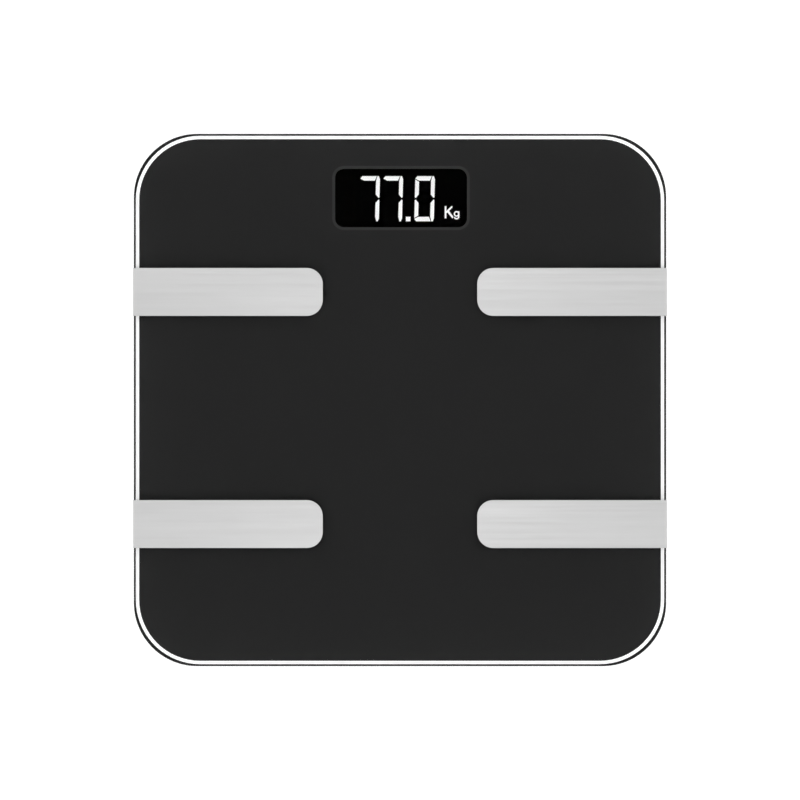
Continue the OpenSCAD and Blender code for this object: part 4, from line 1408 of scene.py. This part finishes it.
@dataclass
class Foot:
    """One foot: cup, rubber tread and the load cell above them."""

    name: str
    pad_corner: float = 0.5 * MM
    groove_deep: float = 0.6 * MM
    ridges: tuple[Pair, ...] = ((5.0 * MM, 8.0 * MM), (9.0 * MM, 12.0 * MM))
    hub: float = 4.0 * MM
    outer_ring: float = 13.0 * MM
    block_ring: float = 15.4 * MM
    block_count: int = 26
    block: Point = (2.6 * MM, 1.0 * MM, 2.6 * MM)
    soft: float = 0.2 * MM

    def build(self) -> None:
        """Makes the tread and dresses the rest."""
        body = "foot_" + self.name
        refined("foot_cup_" + self.name, "foot_shell_" + self.name, body, CUP, 0.08 * MM)
        self._tread(body)
        dress("load_cell_" + self.name, GAUGE_STEEL)

    def _tread(self, body: str) -> None:
        """Makes the rubber pad with soft ridges and a ring of blocks.

        Args:
            body: Body that the pad rides on.
        """
        node = "foot_pad_" + self.name
        low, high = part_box(node)
        radius = (high.x - low.x) / 2
        place = Matrix.Translation(((low.x + high.x) / 2, (low.y + high.y) / 2, 0.0))
        deep, soft = self.groove_deep, self.soft
        profile = [(0.0, 0.0), (self.hub - soft, 0.0), (self.hub, soft), (self.hub, deep)]
        for inner, outer in self.ridges:
            profile += [
                (inner, deep), (inner, soft), (inner + soft, 0.0), (outer - soft, 0.0),
                (outer, soft), (outer, deep),
            ]
        profile += [
            (self.outer_ring, deep), (radius - 0.9 * MM, deep), (radius - 0.9 * MM, soft),
            (radius - self.pad_corner, 0.06 * MM), (radius, self.pad_corner), (radius, high.z),
            (0.0, high.z),
        ]
        pad = Skin().lathe(profile, place, 72).piece("foot_tread_" + self.name, [RUBBER], 50.0)
        grower = tread_grower()
        centre = place.translation
        pad.data.transform(Matrix.Translation(-centre))
        grower.grow(
            pad, RUBBER, 50.0, Count=self.block_count, Radius=self.block_ring,
            Height=self.block[1] / 2, Block=self.block)
        pad.data.transform(Matrix.Translation(centre))
        installed(pad, body, [node])


# ---- Wiring ----


@dataclass
class Wiring:
    """Cables and leads in the base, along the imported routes. Its lengths are in millimetres."""

    foot_x: float = 98.0
    foot_y: float = 98.0
    well_radius: float = 21.0
    roof_low: float = 10.4
    roof_high: float = 13.0
    lane_x: float = 52.0
    lane_z: float = 11.3
    board_x: float = 0.55
    board_front: float = 80.0
    socket_face: float = 80.5
    wire_z: float = 15.2
    lead_z: float = 15.0
    fold_z: float = 19.5
    tab_x: float = 129.7
    rear_strip: float = 56.8
    front_strip: float = -65.2
    bay_end: float = 25.3
    cell_y: tuple[float, float, float] = (16.7, 28.0, 39.3)
    hole_z: float = 15.55
    cable_radius: float = 1.1
    lead_radius: float = 0.6
    steps: int = 7

    def build(self) -> None:
        """Makes the four cables, the electrode leads and the battery leads."""
        for name, (side, end) in FEET.items():
            route = self._rear_cable(side) if end > 0 else self._front_cable(side)
            skin = Skin().tube(self._path(route, side), self.cable_radius * MM, 14)
            cable = skin.piece("gauge_cable_" + name, [CABLE])
            installed(cable, "platform", ["load_cell_cable_" + name])
        skin = Skin()
        for side in (-1.0, 1.0):
            for route in (self._rear_lead(side), self._front_lead(side)):
                skin.tube(self._path(route, side), self.lead_radius * MM)
        leads = skin.piece("strip_leads", [PALE_LEAD])
        installed(leads, "platform", ["electrode_leads"])
        skin = Skin()
        skin.tube(self._path(self._positive(), 1.0), self.lead_radius * MM, slot=0)
        skin.tube(self._path(self._negative(), 1.0), self.lead_radius * MM, slot=1)
        leads = skin.piece("power_leads", [RED_LEAD, CABLE])
        installed(leads, "platform", ["battery_leads"])

    def _path(self, route: Sequence[Point], side: float) -> list[Vector]:
        """Smooths a route, on the right side or mirrored to the left.

        Args:
            route: The right side's points, in millimetres.
            side: -1 for the left side, 1 for the right.

        Returns:
            The curve's points, in metres.
        """
        placed = [(side * x * MM, y * MM, z * MM) for x, y, z in route]
        return smooth_route(placed, self.steps)

    def _way_out(self, y: float) -> list[Point]:
        """Way off the gauge, up through the roof's slot and out of the well's notch."""
        rim = self.foot_x - self.well_radius
        return [
            (self.foot_x - 12, y, self.roof_low + 1.2), (self.foot_x - 15, y, self.roof_low + 1.7),
            (rim + 1.5, y, self.roof_high + 1.4), (rim - 3, y, self.roof_high + 1.5),
        ]

    def _way_in(self, x: float) -> list[Point]:
        """Last stretch into a socket."""
        return [(x, self.socket_face - 4, self.wire_z), (x, self.socket_face, self.wire_z)]

    def _front_cable(self, side: float) -> list[Point]:
        """Route of a front load cell's cable."""
        lane, deep, board = self.lane_x, self.lane_z, side * self.board_x
        return [
            *self._way_out(-self.foot_y), (lane + 15, 6 - self.foot_y, deep + 0.8),
            (lane + 7, 17 - self.foot_y, deep), (lane + 1, 38 - self.foot_y, deep),
            (lane, -30, deep), (lane, 0, deep), (lane, 30, deep),
            (lane - 2, self.board_front - 29, deep), (lane - 11, self.board_front - 17, deep + 0.3),
            (board + 32, self.board_front - 10, deep + 2), *self._way_in(board + 25.5),
        ]

    def _rear_cable(self, side: float) -> list[Point]:
        """Route of a rear load cell's cable."""
        lane, high, board = self.lane_x, self.wire_z, side * self.board_x
        return [
            *self._way_out(self.foot_y), (lane + 12, self.foot_y - 7, high - 0.4),
            (lane + 3, self.board_front, high), (board + 47, self.board_front - 6, high),
            (board + 40, self.board_front - 8, high), *self._way_in(board + 34),
        ]

    def _off_tab(self, y: float) -> list[Point]:
        """First stretch of a lead, down from a strip's contact tab."""
        return [
            (self.tab_x, y, self.fold_z), (self.tab_x, y, self.fold_z - 1.5),
            (self.tab_x - 2, y, self.fold_z - 3.4), (self.tab_x - 9, y, self.lead_z),
        ]

    def _rear_lead(self, side: float) -> list[Point]:
        """Route of a rear strip's lead."""
        lane, low, board, front = self.lane_x, self.lead_z, side * self.board_x, self.board_front
        return [
            *self._off_tab(self.rear_strip), (self.foot_x + 4, self.rear_strip + 1, low),
            (self.foot_x - 20, self.rear_strip + 3, low), (lane + 8, front - 18, low),
            (lane - 6, front - 18.5, low), (lane - 18, front - 17, low),
            (board + 24, front - 13, low),
            (board + 18.9, front - 7.5, self.wire_z), *self._way_in(board + 18.4),
        ]

    def _front_lead(self, side: float) -> list[Point]:
        """Route of a front strip's lead."""
        lane, low, board, front = self.lane_x, self.lead_z, side * self.board_x, self.board_front
        start = self.front_strip
        return [
            *self._off_tab(start), (self.foot_x + 10, start + 2, low),
            (self.foot_x - 14, start + 10, low), (lane + 10, start + 27, low),
            (lane - 6, start + 53, low), (lane - 12, 16, low), (lane - 14, 40, low),
            (lane - 20, front - 24, low), (board + 21.5, front - 14, low),
            (board + 16.8, front - 8, self.wire_z), *self._way_in(board + 16.6),
        ]

    def _positive(self) -> list[Point]:
        """Route of the positive battery lead."""
        end, high, front = self.bay_end, self.hole_z, self.board_front
        return [
            (-end, self.cell_y[0], high), (-end - 3, self.cell_y[0], high),
            (-end - 6, self.cell_y[0] + 5, high - 1), (-end - 7, self.cell_y[1] + 4, high - 1.5),
            (-end - 6, self.cell_y[1] + 19, high - 1.5), (-end + 2, front - 21, self.lead_z - 0.6),
            (self.board_x - 13, front - 12, self.lead_z), *self._way_in(self.board_x - 9),
        ]

    def _negative(self) -> list[Point]:
        """Route of the negative battery lead."""
        end, high, front = self.bay_end, self.hole_z, self.board_front
        return [
            (end, self.cell_y[2], high), (end + 3, self.cell_y[2], high),
            (end + 5, self.cell_y[2] + 4, high - 1), (end + 4, self.cell_y[2] + 11, high - 1.5),
            (end - 3, front - 23, self.lead_z - 1.5),
            (self.board_x + 8, front - 18, self.lead_z - 1),
            (self.board_x - 3, front - 12, self.lead_z), *self._way_in(self.board_x - 7),
        ]


# ---- Studio ----


@dataclass
class Studio:
    """Pale floor, soft light and the camera straight above the glass."""

    lens: float = 135.0
    sensor: float = 36.0
    height: float = 1.577
    floor_size: float = 8.0
    floor_glow: float = 0.72
    floor_tone: float = 0.4
    brightest: float = 2.4
    dome: tuple[Pair, ...] = (
        (-1.0, 0.7), (-0.05, 0.6), (0.05, 0.62), (0.5, 0.6), (0.8, 2.4), (0.96, 2.4), (0.98, 0.0),
    )
    softbox_power: float = 6.0
    softbox_size: float = 1.4
    softbox_place: Point = (-1.3, -1.6, 1.5)

    def camera(self) -> None:
        """Hangs the camera over the middle of the glass."""
        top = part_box("glass_platform")[1].z
        data = bpy.data.cameras.new("camera")
        data.lens, data.sensor_width = self.lens, self.sensor
        made = bpy.data.objects.new("camera", data)
        made.location = (0.0, 0.0, top + self.height)
        bpy.context.scene.collection.objects.link(made)
        bpy.context.scene.camera = made

    def light(self) -> None:
        """Makes the dome, bright high up and dark only straight above, and one soft box."""
        scene = bpy.context.scene
        scene.view_settings.view_transform = "Standard"
        world = bpy.data.worlds.new("studio")
        scene.world = world
        world.use_nodes = True
        tree = world.node_tree
        back = tree.nodes["Background"]
        back.inputs["Color"].default_value = (1.0, 1.0, 1.0, 1.0)
        place = tree.nodes.new("ShaderNodeTexCoord")
        split = tree.nodes.new("ShaderNodeSeparateXYZ")
        rise = tree.nodes.new("ShaderNodeMapRange")
        rise.inputs["From Min"].default_value = -1.0
        ramp = tree.nodes.new("ShaderNodeValToRGB")
        stops = ramp.color_ramp.elements
        while len(stops) < len(self.dome):
            stops.new(1.0)
        for stop, (height, light) in zip(stops, self.dome):
            stop.position = (height + 1) / 2
            stop.color = (*[light / self.brightest] * 3, 1.0)
        times = tree.nodes.new("ShaderNodeMath")
        times.operation = "MULTIPLY"
        times.inputs[1].default_value = self.brightest
        tree.links.new(place.outputs["Generated"], split.inputs[0])
        tree.links.new(split.outputs["Z"], rise.inputs["Value"])
        tree.links.new(rise.outputs[0], ramp.inputs[0])
        tree.links.new(ramp.outputs[0], times.inputs[0])
        tree.links.new(times.outputs[0], back.inputs["Strength"])
        box = bpy.data.lights.new("soft_box", "AREA")
        box.energy, box.size = self.softbox_power, self.softbox_size
        lamp = bpy.data.objects.new("soft_box", box)
        lamp.location = self.softbox_place
        lamp.rotation_euler = (-Vector(self.softbox_place)).to_track_quat("-Z", "Y").to_euler()
        scene.collection.objects.link(lamp)

    def floor(self) -> None:
        """Lays the floor, which shows only from above."""
        half = self.floor_size / 2
        data = bpy.data.meshes.new("floor")
        corners = [(-half, -half, 0.0), (half, -half, 0.0), (half, half, 0.0), (-half, half, 0.0)]
        data.from_pydata(corners, [], [(0, 1, 2, 3)])
        made = bpy.data.objects.new("floor", data)
        bpy.context.scene.collection.objects.link(made)
        paint = bpy.data.materials.new("floor_paint")
        paint.use_nodes = True
        tree = paint.node_tree
        shader = tree.nodes["Principled BSDF"]
        shader.inputs["Base Color"].default_value = (*[self.floor_tone] * 3, 1.0)
        shader.inputs["Roughness"].default_value = 0.9
        shader.inputs["Specular IOR Level"].default_value = 0.0
        shader.inputs["Emission Color"].default_value = (1.0, 1.0, 1.0, 1.0)
        shader.inputs["Emission Strength"].default_value = self.floor_glow
        clear = tree.nodes.new("ShaderNodeBsdfTransparent")
        face = tree.nodes.new("ShaderNodeNewGeometry")
        mix = tree.nodes.new("ShaderNodeMixShader")
        tree.links.new(face.outputs["Backfacing"], mix.inputs[0])
        tree.links.new(shader.outputs[0], mix.inputs[1])
        tree.links.new(clear.outputs[0], mix.inputs[2])
        tree.links.new(mix.outputs[0], tree.nodes["Material Output"].inputs["Surface"])
        data.materials.append(paint)


def main() -> None:
    """Builds the scale in order."""
    logging.basicConfig(level=logging.INFO, format="%(name)s %(message)s")
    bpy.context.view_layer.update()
    studio = Studio()
    studio.camera()
    studio.light()
    studio.floor()
    GlassTop().build()
    Display().build()
    Board().build()
    Shell().build()
    BatteryBay().build()
    for name in FEET:
        Foot(name).build()
    dress("strain_gauges", SILICONE)
    Wiring().build()


if __name__ == "__main__":
    main()
